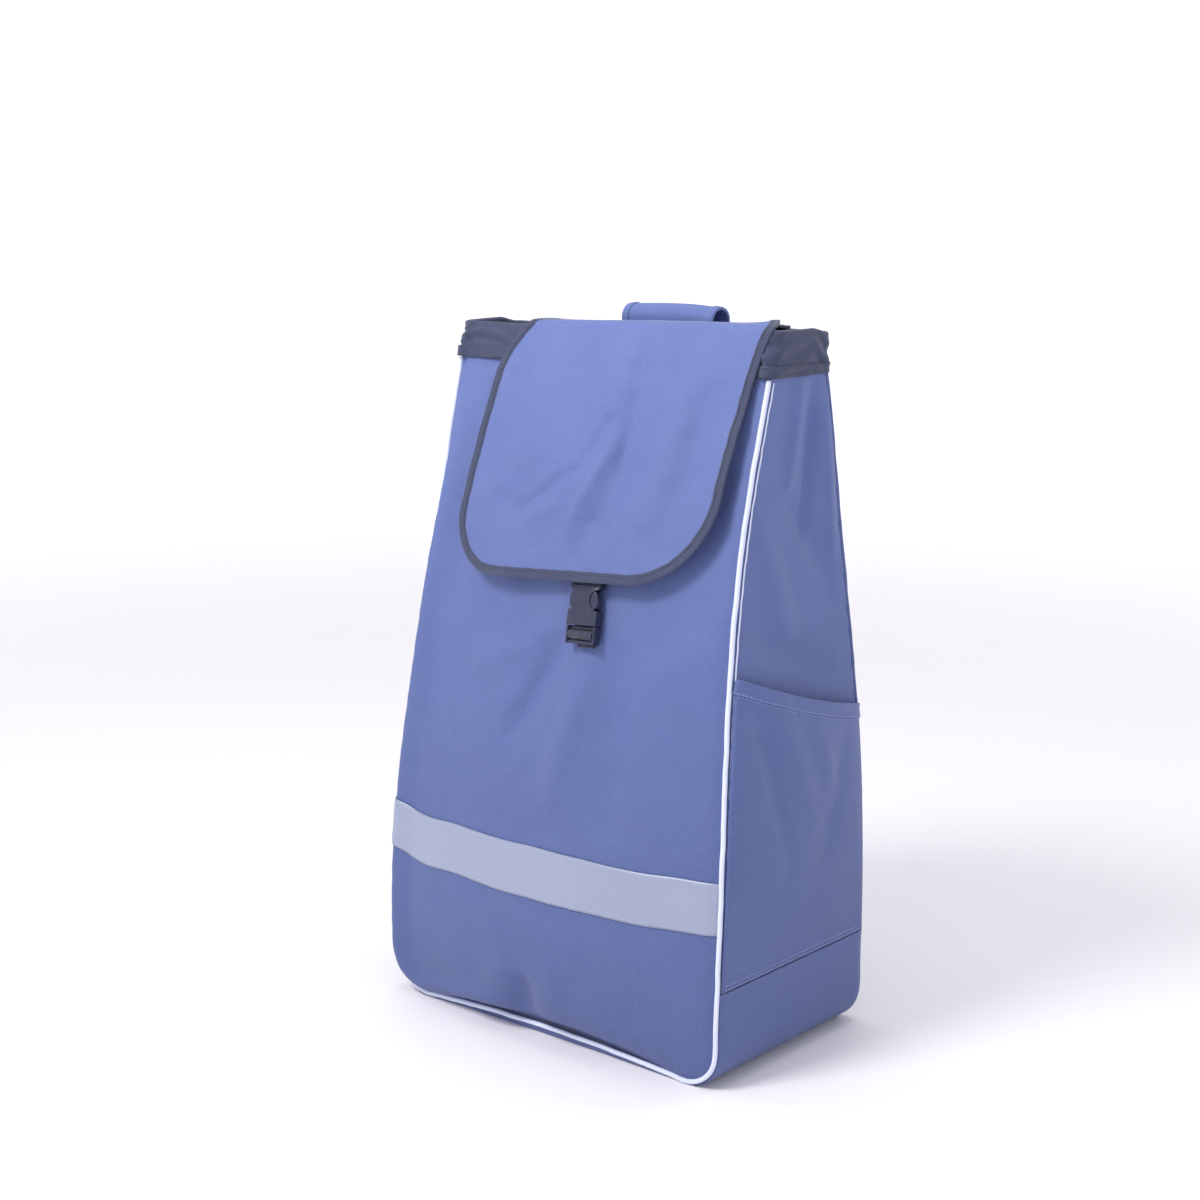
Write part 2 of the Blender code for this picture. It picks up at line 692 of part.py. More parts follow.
def main():
    clear_scene()
    materials = {name: make_material(name) for name in COLOURS}
    cloth, trim = materials["bag_cloth"], materials["trim_cloth"]
    webbing, plastic = materials["webbing"], materials["buckle_plastic"]

    build_panels(cloth)
    build_seams(materials["piping"], trim, cloth)
    build_mouth_band(trim)
    build_base_board(materials["board"])
    build_tape(materials["reflective"])
    build_pocket(cloth)
    build_sleeve(cloth)

    hinge, fold = lid_hinge_point(), fold_point()
    lid_pivot = pivot_empty("lid_hinge_axis", hinge)
    flap_pivot = pivot_empty("flap_fold_axis", fold - hinge, lid_pivot)
    build_lid_top(cloth, trim, lid_pivot)
    build_flap(cloth, trim, flap_pivot)
    build_flap_tab(webbing, flap_pivot)

    frame, tilt = buckle_frame()
    socket_pivot = pivot_empty("socket_axis", frame @ SOCKET_PIVOT - fold, flap_pivot, tilt)
    plug_pivot = pivot_empty("plug_axis", frame @ PLUG_PIVOT, None, tilt)
    build_socket(plastic, socket_pivot)
    build_plug(plastic, plug_pivot)
    build_webbing(webbing, socket_pivot, plug_pivot)
    build_anchor(webbing)
    for name, side in (("prong_left", -1), ("prong_right", 1)):
        place = Vector((side * PRONG_PIVOT.x, PRONG_PIVOT.y, PRONG_PIVOT.z)) - PLUG_PIVOT
        prong_pivot = pivot_empty(f"{name}_axis", place, plug_pivot)
        build_prong(name, side, plastic, prong_pivot)


main()
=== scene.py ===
"""Looks of a wheeled shopping trolley's cloth bag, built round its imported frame.

Metres, in the frame's own axes: the bag's front faces -Y, its right side +X, and +Z is up.
Cloth lies on surfaces that are functions of two lengths, a across the cloth and b up it, with
a cross b pointing outwards. A binding, a tape or a row of stitches is laid on the same surface
as the cloth that it is sewn to, so it follows every fold.
"""

from __future__ import annotations

import json
import logging
import math
from dataclasses import dataclass, field
from enum import Enum
from typing import Callable, Optional, Sequence

import bmesh
import bpy
import numpy as np
from mathutils import Matrix, Vector

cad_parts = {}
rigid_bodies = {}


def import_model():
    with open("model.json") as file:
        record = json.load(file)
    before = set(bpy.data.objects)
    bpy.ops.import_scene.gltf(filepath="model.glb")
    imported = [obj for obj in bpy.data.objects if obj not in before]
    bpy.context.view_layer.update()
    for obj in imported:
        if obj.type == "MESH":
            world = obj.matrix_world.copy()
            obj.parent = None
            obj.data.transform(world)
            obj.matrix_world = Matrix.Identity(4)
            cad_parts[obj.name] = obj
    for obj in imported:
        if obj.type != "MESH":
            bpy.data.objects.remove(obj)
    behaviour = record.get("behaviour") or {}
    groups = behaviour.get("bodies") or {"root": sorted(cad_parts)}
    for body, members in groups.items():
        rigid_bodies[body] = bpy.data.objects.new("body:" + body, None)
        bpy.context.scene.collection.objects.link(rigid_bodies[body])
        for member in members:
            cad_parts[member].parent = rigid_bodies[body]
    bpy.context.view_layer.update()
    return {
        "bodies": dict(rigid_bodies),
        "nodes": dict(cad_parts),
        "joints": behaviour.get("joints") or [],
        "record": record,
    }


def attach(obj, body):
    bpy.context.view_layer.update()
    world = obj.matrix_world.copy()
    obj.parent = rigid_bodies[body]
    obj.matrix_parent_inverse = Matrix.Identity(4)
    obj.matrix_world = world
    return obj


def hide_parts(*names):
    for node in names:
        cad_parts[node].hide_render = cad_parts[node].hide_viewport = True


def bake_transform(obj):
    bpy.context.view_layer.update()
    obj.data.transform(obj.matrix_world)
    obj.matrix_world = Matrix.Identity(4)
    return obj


LOG = logging.getLogger("bag")
Array = np.ndarray
Surface = Callable[[Array, Array], Array]
UV_NAME = "cloth"


class Body(Enum):
    """The frame's bodies."""

    BAG = "bag"
    LID = "lid"
    FLAP = "flap"
    SOCKET = "socket"
    PLUG = "plug"
    PRONG_LEFT = "prong_left"
    PRONG_RIGHT = "prong_right"


class Slot(Enum):
    """The record's material slots."""

    BAG_CLOTH = "bag_cloth"
    TRIM_CLOTH = "trim_cloth"
    PIPING = "piping"
    REFLECTIVE = "reflective"
    BOARD = "board"
    WEBBING = "webbing"
    BUCKLE = "buckle_plastic"


# Numbers on arrays


def clamp(value: Array) -> Array:
    """Value held between 0 and 1."""
    return np.clip(value, 0.0, 1.0)


def smooth(value: Array) -> Array:
    """A step from 0 to 1 with level ends: 3t^2 - 2t^3 of the clamped value."""
    t = clamp(value)
    return t * t * (3 - 2 * t)


def at_least(value: Array, floor: Array) -> Array:
    """The larger of two heights, with the corner between them rounded off."""
    return 0.5 * (value + floor + np.sqrt((value - floor) ** 2 + 1.6e-7))


def unit(vectors: Array) -> Array:
    """Vectors along the last axis, each divided by its length."""
    return vectors / np.maximum(np.linalg.norm(vectors, axis=-1, keepdims=True), 1e-12)


def stack(x: Array, y: Array, z: Array) -> Array:
    """Points from coordinates that broadcast together."""
    return np.stack(np.broadcast_arrays(x, y, z), axis=-1)


def ripple(t: Array, pitch: float, seed: int) -> Array:
    """An uneven wave along a line.

    The sum of three sine waves whose lengths are 1, 0.61 and 0.37 of the pitch, each as high
    as it is long, with seeded phases, scaled to stay between -1 and 1.

    Args:
        t: Distance along the line.
        pitch: Length of the longest wave.
        seed: Seed of the phases.

    Returns:
        The wave's height at each distance.
    """
    shares = np.array([1.0, 0.61, 0.37])
    phases = np.random.default_rng(seed).uniform(0, 2 * math.pi, len(shares))
    waves = np.sin(2 * math.pi * np.asarray(t)[..., None] / (pitch * shares) + phases)
    return (waves * shares).sum(-1) / shares.sum()


def crumple(a: Array, b: Array, pitch: float, seed: int) -> Array:
    """Soft unevenness over a surface.

    The mean of nine plane waves with seeded directions, lengths and phases.

    Args:
        a: Length across the cloth.
        b: Length up the cloth.
        pitch: Usual length of a wave.
        seed: Seed of the waves.

    Returns:
        Heights between -1 and 1.
    """
    rng = np.random.default_rng(seed)
    turn = rng.uniform(0, math.pi, 9)
    length = pitch * rng.uniform(0.55, 1.5, 9)
    phase = rng.uniform(0, 2 * math.pi, 9)
    a, b = np.broadcast_arrays(a, b)
    along = a[..., None] * np.cos(turn) + b[..., None] * np.sin(turn)
    return np.sin(2 * math.pi * along / length + phase).mean(-1)


@dataclass(frozen=True)
class Crease:
    """One fold in cloth: a rounded ridge, or a valley where its height is negative.

    Across the fold the height follows a bell curve of the given width, and along it the height
    rises and falls as the square root of a half sine wave.
    """

    start: tuple[float, float]
    end: tuple[float, float]
    width: float
    height: float

    def at(self, a: Array, b: Array) -> Array:
        """Height of the fold at points of the cloth.

        Args:
            a: Length across the cloth.
            b: Length up the cloth.

        Returns:
            The height there.
        """
        da, db = self.end[0] - self.start[0], self.end[1] - self.start[1]
        length = math.hypot(da, db)
        along = ((a - self.start[0]) * da + (b - self.start[1]) * db) / length**2
        across = ((a - self.start[0]) * db - (b - self.start[1]) * da) / length
        rise = np.sqrt(np.sin(math.pi * clamp(along)))
        return self.height * rise * np.exp(-((across / self.width) ** 2))


def creased(creases: Sequence[Crease], a: Array, b: Array) -> Array:
    """The summed height of several folds."""
    return sum((crease.at(a, b) for crease in creases), np.zeros(np.broadcast(a, b).shape))


def raised(surface: Surface, a: Array, b: Array, height: Array) -> Array:
    """Points at a height above a surface, along its normal.

    The normal is the cross product of the surface's steps along a and along b.

    Args:
        surface: Function from (a, b) to points.
        a: Length across the cloth.
        b: Length up the cloth.
        height: How far the points stand off the surface.

    Returns:
        The points.
    """
    step = 1e-4
    normal = unit(np.cross(
        surface(a + step, b) - surface(a - step, b), surface(a, b + step) - surface(a, b - step)))
    return surface(a, b) + normal * np.asarray(height)[..., None]


def section(width: float, thickness: float, roundness: float, count: int) -> tuple[Array, Array]:
    """A flat band's rounded cross-section.

    Cosine and sine of the angle, each to the power of the roundness and with its sign kept:
    1 gives an ellipse, and a smaller number squarer corners.

    Args:
        width: Size across the band.
        thickness: Size through the band.
        roundness: The power.
        count: Number of points. The first is in the middle of the underside.

    Returns:
        Offsets across the band and through it.
    """
    angle = np.linspace(-0.5 * math.pi, 1.5 * math.pi, count, endpoint=False)
    c, s = np.cos(angle), np.sin(angle)
    across = 0.5 * width * np.sign(c) * np.abs(c) ** roundness
    return across, 0.5 * thickness * np.sign(s) * np.abs(s) ** roundness


def resample(line: Array, pitch: float) -> Array:
    """Points evenly spaced along a line, by the line's own length.

    Args:
        line: Points of the line, one a row.
        pitch: Distance wanted between points.

    Returns:
        The new points, from the line's first to its last.
    """
    run = np.concatenate([[0.0], np.cumsum(np.linalg.norm(np.diff(line, axis=0), axis=1))])
    wanted = np.linspace(0, run[-1], max(2, int(round(run[-1] / pitch)) + 1))
    return np.stack([np.interp(wanted, run, column) for column in line.T], axis=-1)


# Meshes


class Patchwork:
    """The vertices, faces and UVs of one piece, gathered patch by patch. UVs are in metres."""

    def __init__(self) -> None:
        """Start with no patches."""
        self.points: list[Array] = []
        self.uvs: list[Array] = []
        self.faces: list[Array] = []
        self.count = 0

    def add_faces(self, points: Array, uv: Array, *faces: Array) -> None:
        """Add vertices, their UVs, and faces that index these vertices."""
        self.points.append(points.reshape(-1, 3))
        self.uvs.append(uv.reshape(-1, 2))
        self.faces += [f + self.count for f in faces]
        self.count += len(self.points[-1])

    @staticmethod
    def _measure(points: Array, a_too: bool) -> Array:
        """Metric UVs of a grid: mean run along its rows, and mean run along its columns.

        Args:
            points: Grid of points, rows first.
            a_too: Whether the first coordinate starts at the middle column.

        Returns:
            A grid of UVs.
        """
        across = np.linalg.norm(np.diff(points, axis=1), axis=2).mean(0)
        along = np.linalg.norm(np.diff(points, axis=0), axis=2).mean(1)
        u = np.concatenate([[0.0], np.cumsum(across)])
        v = np.concatenate([[0.0], np.cumsum(along)])
        if a_too:
            u = u - u[len(u) // 2]
        return np.stack(np.meshgrid(u, v), axis=-1)

    def grid(self, points: Array, uv: Optional[Array] = None) -> Patchwork:
        """Add an open grid whose faces look along columns cross rows.

        Args:
            points: Grid of points, rows first.
            uv: Grid of UVs, or None to measure them.

        Returns:
            This patchwork.
        """
        rows, columns = points.shape[:2]
        index = np.arange(rows * columns).reshape(rows, columns)
        quads = np.stack(
            [index[:-1, :-1], index[:-1, 1:], index[1:, 1:], index[1:, :-1]], axis=-1)
        uv = self._measure(points, True) if uv is None else uv
        self.add_faces(points, uv, quads.reshape(-1, 4))
        return self

    def rings(self, points: Array, closed: bool = False) -> Patchwork:
        """Add a tube through rings of points, with a flat cap on each end unless it is closed.

        Args:
            points: Rings of points, one ring a row.
            closed: Whether the last ring joins the first.

        Returns:
            This patchwork.
        """
        rows, columns = points.shape[:2]
        index = np.arange(rows * columns).reshape(rows, columns)
        low = index if closed else index[:-1]
        high = np.roll(index, -1, axis=0) if closed else index[1:]
        quads = np.stack(
            [low, np.roll(low, -1, axis=1), np.roll(high, -1, axis=1), high], axis=-1)
        caps = [] if closed else [index[:1, ::-1], index[-1:]]
        self.add_faces(points, self._measure(points, False), quads.reshape(-1, 4), *caps)
        return self

    def moved(self, matrix: Matrix) -> Patchwork:
        """Move every patch so far by a matrix, and return this patchwork."""
        turn = np.array(matrix, float)
        self.points = [p @ turn[:3, :3].T + turn[:3, 3] for p in self.points]
        return self

    def build(self, name: str, closed: bool = True) -> bpy.types.Object:
        """Make the piece's object, at the origin.

        Args:
            name: The piece's name.
            closed: Whether the patches are closed, so that their normals can be recalculated.

        Returns:
            The object.
        """
        mesh = bpy.data.meshes.new(name)
        points, uvs = np.concatenate(self.points), np.concatenate(self.uvs)
        corners = np.concatenate([f.ravel() for f in self.faces])
        sizes = np.concatenate([np.full(len(f), f.shape[1]) for f in self.faces])
        mesh.vertices.add(len(points))
        mesh.vertices.foreach_set("co", points.astype(np.float32).ravel())
        mesh.loops.add(len(corners))
        mesh.loops.foreach_set("vertex_index", corners.astype(np.int32))
        mesh.polygons.add(len(sizes))
        starts = np.concatenate([[0], np.cumsum(sizes)[:-1]])
        mesh.polygons.foreach_set("loop_start", starts.astype(np.int32))
        mesh.polygons.foreach_set("use_smooth", np.ones(len(sizes), bool))
        mesh.update(calc_edges=True)
        layer = mesh.uv_layers.new(name=UV_NAME)
        layer.data.foreach_set("uv", uvs[corners].astype(np.float32).ravel())
        mesh.validate()
        if closed:
            work = bmesh.new()
            work.from_mesh(mesh)
            bmesh.ops.recalc_face_normals(work, faces=work.faces)
            work.to_mesh(mesh)
            work.free()
        obj = bpy.data.objects.new(name, mesh)
        bpy.context.scene.collection.objects.link(obj)
        return obj


def laid_strip(
    surface: Surface, line: Array, width: float, thickness: float, lift: float,
    roundness: float = 0.45, closed: bool = False, count: int = 16, wrinkle: float = 0.0,
    seed: int = 0,
) -> Array:
    """Rings of a narrow band that is laid on a surface along a line.

    At each point of the line the section's offsets go to the left of the line, in the plane of
    a and b, and along the surface's normal. A ripple along the line puckers the band.

    Args:
        surface: Function from (a, b) to points.
        line: Points (a, b) of the band's middle line.
        width: Width of the band.
        thickness: Thickness of the band.
        lift: Height of the band's middle above the surface.
        roundness: Roundness of its section.
        closed: Whether the line is a loop.
        count: Points round the section.
        wrinkle: Height of the puckers.
        seed: Seed of the puckers.

    Returns:
        The rings, one a row.
    """
    if closed:
        tangent = np.roll(line, -1, axis=0) - np.roll(line, 1, axis=0)
        run = np.cumsum(np.linalg.norm(np.roll(line, 1, axis=0) - line, axis=1))
    else:
        tangent = np.gradient(line, axis=0)
        run = np.cumsum(np.linalg.norm(np.gradient(line, axis=0), axis=1))
    tangent = unit(tangent)
    across, height = section(width, thickness, roundness, count)
    a = line[:, :1] - tangent[:, 1:] * across
    b = line[:, 1:] + tangent[:, :1] * across
    pucker = wrinkle * ripple(run, 0.021, seed)[:, None] * (0.4 + across / width)
    return raised(surface, a, b, lift + height + pucker)


def swept(path: Array, side: Array, width: float, thickness: float, roundness: float = 0.5,
          count: int = 16, closed: bool = False) -> Array:
    """Rings of a section that is swept along a path in space.

    The section's width lies along the side vectors, and its thickness along the path's
    direction cross the side.

    Args:
        path: Points of the path.
        side: Unit vector or vectors across the path.
        width: Size along the side vector.
        thickness: Size along the other direction.
        roundness: Roundness of the section.
        count: Points round the section.
        closed: Whether the path is a loop.

    Returns:
        The rings, one a row.
    """
    if closed:
        tangent = unit(np.roll(path, -1, axis=0) - np.roll(path, 1, axis=0))
    else:
        tangent = unit(np.gradient(path, axis=0))
    side = np.broadcast_to(np.asarray(side, float), path.shape)
    other = unit(np.cross(tangent, side))
    across, height = section(width, thickness, roundness, count)
    return (path[:, None] + side[:, None] * across[:, None] + other[:, None] * height[:, None])


def stitch_row(work: Patchwork, surface: Surface, line: Array, lift: float,
               pitch: float = 0.0036, radius: float = 0.00030) -> None:
    """Add a row of stitches along a line on a surface.

    Each stitch is a short thread of four five-sided rings, thin at both ends and raised
    between them, that covers three quarters of the pitch.

    Args:
        work: Patchwork that the stitches go into.
        surface: Function from (a, b) to points.
        line: Points (a, b) of the seam.
        lift: Height of the thread's middle above the surface.
        pitch: Distance from one stitch to the next.
        radius: Radius of the thread.
    """
    holes = resample(line, pitch)
    start, step = holes[:-1], np.diff(holes, axis=0) * 0.75
    share = np.array([0.0, 0.28, 0.72, 1.0])
    swell = np.array([0.35, 1.0, 1.0, 0.35]) * radius
    rise = np.array([-0.6, 0.25, 0.25, -0.6]) * radius
    spot = start[:, None] + step[:, None] * share[:, None]
    middle = raised(surface, spot[..., 0], spot[..., 1], lift + rise)
    above = raised(surface, spot[..., 0], spot[..., 1], lift + rise + radius)
    up = unit(above - middle)
    along = unit(middle[:, 3:] - middle[:, :1])
    side = np.cross(along, up)
    angle = np.linspace(0, 2 * math.pi, 5, endpoint=False)
    ring = (middle[:, :, None]
            + (up * swell[:, None])[:, :, None] * np.cos(angle)[:, None]
            + (side * swell[:, None])[:, :, None] * np.sin(angle)[:, None])
    number, rings, sides = ring.shape[:3]
    index = np.arange(number * rings * sides).reshape(number, rings, sides)
    low, high = index[:, :-1], index[:, 1:]
    quads = np.stack([low, np.roll(low, -1, 2), np.roll(high, -1, 2), high], axis=-1)
    uv = np.zeros((number, rings, sides, 2))
    uv[..., 0] = share[:, None] * pitch
    uv[..., 1] = angle * radius
    work.add_faces(ring, uv, quads.reshape(-1, 4), index[:, 0, ::-1], index[:, -1])


def thicken(obj: bpy.types.Object, thickness: float) -> None:
    """Give a sheet its thickness, behind its faces."""
    modifier = obj.modifiers.new("thickness", "SOLIDIFY")
    modifier.thickness = thickness
    modifier.offset = -1


def rounded_edges(obj: bpy.types.Object, width: float, segments: int = 2) -> None:
    """Bevel the sharp edges of a moulded piece."""
    modifier = obj.modifiers.new("rounded edges", "BEVEL")
    modifier.width = width
    modifier.segments = segments
    modifier.limit_method = "ANGLE"
    modifier.angle_limit = math.radians(40)


# Finishes

Colour = tuple[float, float, float]


class NodeBook:
    """Builds and keeps the shader node groups that several finishes share."""

    def __init__(self) -> None:
        """Start with no groups built."""
        self.groups: dict[str, bpy.types.NodeTree] = {}

    @staticmethod
    def _start(name: str, inputs: Sequence[tuple[str, str, object]],
               outputs: Sequence[tuple[str, str]]) -> tuple:
        """Make an empty group with its sockets.

        Args:
            name: The group's name.
            inputs: Name, socket type and starting value of each input.
            outputs: Name and socket type of each output.

        Returns:
            The group, its input node and its output node.
        """
        tree = bpy.data.node_groups.new(name, "ShaderNodeTree")
        for label, kind, value in inputs:
            socket = tree.interface.new_socket(name=label, in_out="INPUT", socket_type=kind)
            if value is not None:
                socket.default_value = value
        for label, kind in outputs:
            tree.interface.new_socket(name=label, in_out="OUTPUT", socket_type=kind)
        return tree, tree.nodes.new("NodeGroupInput"), tree.nodes.new("NodeGroupOutput")

    @staticmethod
    def math(tree: bpy.types.NodeTree, operation: str, *values: object) -> bpy.types.NodeSocket:
        """Add a Math node.

        Args:
            tree: The tree it goes into.
            operation: Its operation.
            values: Numbers or sockets for its inputs.

        Returns:
            Its output.
        """
        node = tree.nodes.new("ShaderNodeMath")
        node.operation = operation
        for i, value in enumerate(values):
            if isinstance(value, bpy.types.NodeSocket):
                tree.links.new(value, node.inputs[i])
            else:
                node.inputs[i].default_value = value
        return node.outputs[0]

    @staticmethod
    def scaled(tree: bpy.types.NodeTree, colour: bpy.types.NodeSocket,
               factor: bpy.types.NodeSocket) -> bpy.types.NodeSocket:
        """Add a node that multiplies a colour by a factor, and return its output."""
        node = tree.nodes.new("ShaderNodeVectorMath")
        node.operation = "SCALE"
        tree.links.new(colour, node.inputs[0])
        tree.links.new(factor, node.inputs["Scale"])
        return node.outputs[0]

    @staticmethod
    def noise(tree: bpy.types.NodeTree, place: bpy.types.NodeSocket, scale: float,
              detail: float) -> bpy.types.NodeSocket:
        """Add a noise texture at a place socket, and return its output."""
        node = tree.nodes.new("ShaderNodeTexNoise")
        node.inputs["Scale"].default_value = scale
        node.inputs["Detail"].default_value = detail
        tree.links.new(place, node.inputs["Vector"])
        return node.outputs[0]

    def weave(self) -> bpy.types.NodeTree:
        """Twill or ribbed weave as a height.

        The threads are sine waves along two directions of the UV map. Their directions are set
        by how much of u and v each takes, so one group gives diagonal twill and straight ribs.

        Returns:
            The group: inputs Vector, Pitch, Along U, Along V and Cross, output Height.
        """
        if "weave" not in self.groups:
            vector, number = "NodeSocketVector", "NodeSocketFloat"
            tree, given, out = self._start(
                "weave",
                [("Vector", vector, None), ("Pitch", number, 0.0012), ("Along U", number, 1.0),
                 ("Along V", number, 1.0), ("Cross", number, 0.4)],
                [("Height", number)])
            split = tree.nodes.new("ShaderNodeSeparateXYZ")
            tree.links.new(given.outputs["Vector"], split.inputs[0])
            u, v = split.outputs[0], split.outputs[1]
            pu = self.math(tree, "MULTIPLY", u, given.outputs["Along U"])
            pv = self.math(tree, "MULTIPLY", v, given.outputs["Along V"])
            turn = self.math(tree, "DIVIDE", 2 * math.pi, given.outputs["Pitch"])
            rib = self.math(tree, "MULTIPLY", self.math(tree, "ADD", pu, pv), turn)
            qu = self.math(tree, "MULTIPLY", u, given.outputs["Along V"])
            qv = self.math(tree, "MULTIPLY", v, given.outputs["Along U"])
            weft = self.math(tree, "MULTIPLY", self.math(tree, "SUBTRACT", qu, qv), turn)
            weft = self.math(tree, "ADD", weft, self.math(tree, "MULTIPLY", rib, 0.5))
            rib = self.math(tree, "SINE", rib)
            weft = self.math(tree, "MULTIPLY", self.math(tree, "SINE", weft), given.outputs["Cross"])
            total = self.math(tree, "ADD", rib, weft)
            height = self.math(tree, "MULTIPLY_ADD", total, 0.4, 0.5)
            tree.links.new(height, out.inputs["Height"])
            self.groups["weave"] = tree
        return self.groups["weave"]

    def mottle(self) -> bpy.types.NodeTree:
        """Uneven colour: two scales of noise that lighten and darken a colour.

        Returns:
            The group: inputs Vector, Color, Scale and Amount, outputs Color and Mask.
        """
        if "mottle" not in self.groups:
            tree, given, out = self._start(
                "mottle",
                [("Vector", "NodeSocketVector", None), ("Color", "NodeSocketColor", None),
                 ("Scale", "NodeSocketFloat", 9.0), ("Amount", "NodeSocketFloat", 0.12)],
                [("Color", "NodeSocketColor"), ("Mask", "NodeSocketFloat")])
            noises = []
            for share, detail in ((1.0, 4.0), (23.0, 3.0)):
                noise = tree.nodes.new("ShaderNodeTexNoise")
                noise.inputs["Detail"].default_value = detail
                tree.links.new(given.outputs["Vector"], noise.inputs["Vector"])
                scale = self.math(tree, "MULTIPLY", given.outputs["Scale"], share)
                tree.links.new(scale, noise.inputs["Scale"])
                noises.append(noise.outputs[0])
            mask = self.math(tree, "ADD", self.math(tree, "MULTIPLY", noises[0], 0.65),
                             self.math(tree, "MULTIPLY", noises[1], 0.35))
            swing = self.math(tree, "MULTIPLY", self.math(tree, "SUBTRACT", mask, 0.5), 4.0)
            factor = self.math(tree, "MULTIPLY_ADD", swing, given.outputs["Amount"], 1.0)
            toned = self.scaled(tree, given.outputs["Color"], factor)
            tree.links.new(toned, out.inputs["Color"])
            tree.links.new(mask, out.inputs["Mask"])
            self.groups["mottle"] = tree
        return self.groups["mottle"]


@dataclass(frozen=True)
class Finish:
    """What every finish has: a base colour, its unevenness, a shine and a fine surface."""

    name: str
    colour: Colour
    roughness: float
    scale: float = 9.0
    amount: float = 0.08
    sheen: float = 0.0
    coat: float = 0.0
    specular: float = 0.5
    metallic: float = 0.0
    pitch: float = 0.0
    along: tuple[float, float] = (1.0, 1.0)
    cross: float = 0.4
    depth: float = 0.00012
    thread_tone: float = 0.0
    grain_scale: float = 0.0
    grain_depth: float = 0.0
    dusty: float = 0.0
    painted_top_light: float = 0.0  # painted light: how much paler the colour is at the mouth than at the floor, for the stronger light on the upper cloth

    def make(self, book: NodeBook) -> bpy.types.Material:
        """Build the material.

        The colour is mottled by place, darkened between threads, paled a little by dust, and paled with
        height as painted light.
        The weave and the grain go through one Bump node to the normal, and the mottling's mask
        varies the roughness.

        Args:
            book: The shared node groups.

        Returns:
            The material.
        """
        material = bpy.data.materials.new(self.name)
        material.use_nodes = True
        tree = material.node_tree
        shader = tree.nodes["Principled BSDF"]
        shader.inputs["Specular IOR Level"].default_value = self.specular
        shader.inputs["Sheen Weight"].default_value = self.sheen
        shader.inputs["Sheen Roughness"].default_value = 0.45
        shader.inputs["Coat Weight"].default_value = self.coat
        shader.inputs["Coat Roughness"].default_value = 0.25
        shader.inputs["Metallic"].default_value = self.metallic
        place = tree.nodes.new("ShaderNodeTexCoord").outputs["Object"]

        mottle = tree.nodes.new("ShaderNodeGroup")
        mottle.node_tree = book.mottle()
        mottle.inputs["Color"].default_value = (*self.colour, 1)
        mottle.inputs["Scale"].default_value = self.scale
        mottle.inputs["Amount"].default_value = self.amount
        tree.links.new(place, mottle.inputs["Vector"])
        colour, mask = mottle.outputs["Color"], mottle.outputs["Mask"]

        heights = []
        if self.pitch:
            flat = tree.nodes.new("ShaderNodeUVMap")
            flat.uv_map = UV_NAME
            weave = tree.nodes.new("ShaderNodeGroup")
            weave.node_tree = book.weave()
            weave.inputs["Pitch"].default_value = self.pitch
            weave.inputs["Along U"].default_value = self.along[0]
            weave.inputs["Along V"].default_value = self.along[1]
            weave.inputs["Cross"].default_value = self.cross
            tree.links.new(flat.outputs[0], weave.inputs["Vector"])
            heights.append((weave.outputs["Height"], self.depth))
            tone = book.math(
                tree, "MULTIPLY_ADD", weave.outputs["Height"], self.thread_tone,
                1 - 0.5 * self.thread_tone)
            colour = book.scaled(tree, colour, tone)
        if self.grain_scale:
            heights.append((book.noise(tree, place, self.grain_scale, 3), self.grain_depth))
        if self.dusty:
            amount = book.math(tree, "MULTIPLY", book.noise(tree, place, 31, 6), self.dusty)
            mix = tree.nodes.new("ShaderNodeMix")
            mix.data_type = "RGBA"
            tree.links.new(amount, mix.inputs["Factor"])
            tree.links.new(colour, mix.inputs["A"])
            mix.inputs["B"].default_value = (0.72, 0.72, 0.78, 1)
            colour = mix.outputs["Result"]
        # Painted light: the colour grows paler with height, standing in for the light that falls more on
        # the upper cloth than on the lower.
        if self.painted_top_light:
            height = tree.nodes.new("ShaderNodeSeparateXYZ")
            tree.links.new(place, height.inputs[0])
            tone = book.math(tree, "MULTIPLY_ADD", height.outputs[2], self.painted_top_light / 0.57,
                             1 - 0.5 * self.painted_top_light)
            colour = book.scaled(tree, colour, tone)
        tree.links.new(colour, shader.inputs["Base Color"])
        rough = book.math(tree, "MULTIPLY_ADD", mask, 0.24, self.roughness - 0.12)
        tree.links.new(rough, shader.inputs["Roughness"])
        if heights:
            total = None
            for height, depth in heights:
                part = book.math(tree, "MULTIPLY", height, depth)
                total = part if total is None else book.math(tree, "ADD", total, part)
            bump = tree.nodes.new("ShaderNodeBump")
            bump.inputs["Strength"].default_value = 0.9
            bump.inputs["Distance"].default_value = 1.0
            tree.links.new(total, bump.inputs["Height"])
            tree.links.new(bump.outputs[0], shader.inputs["Normal"])
        return material


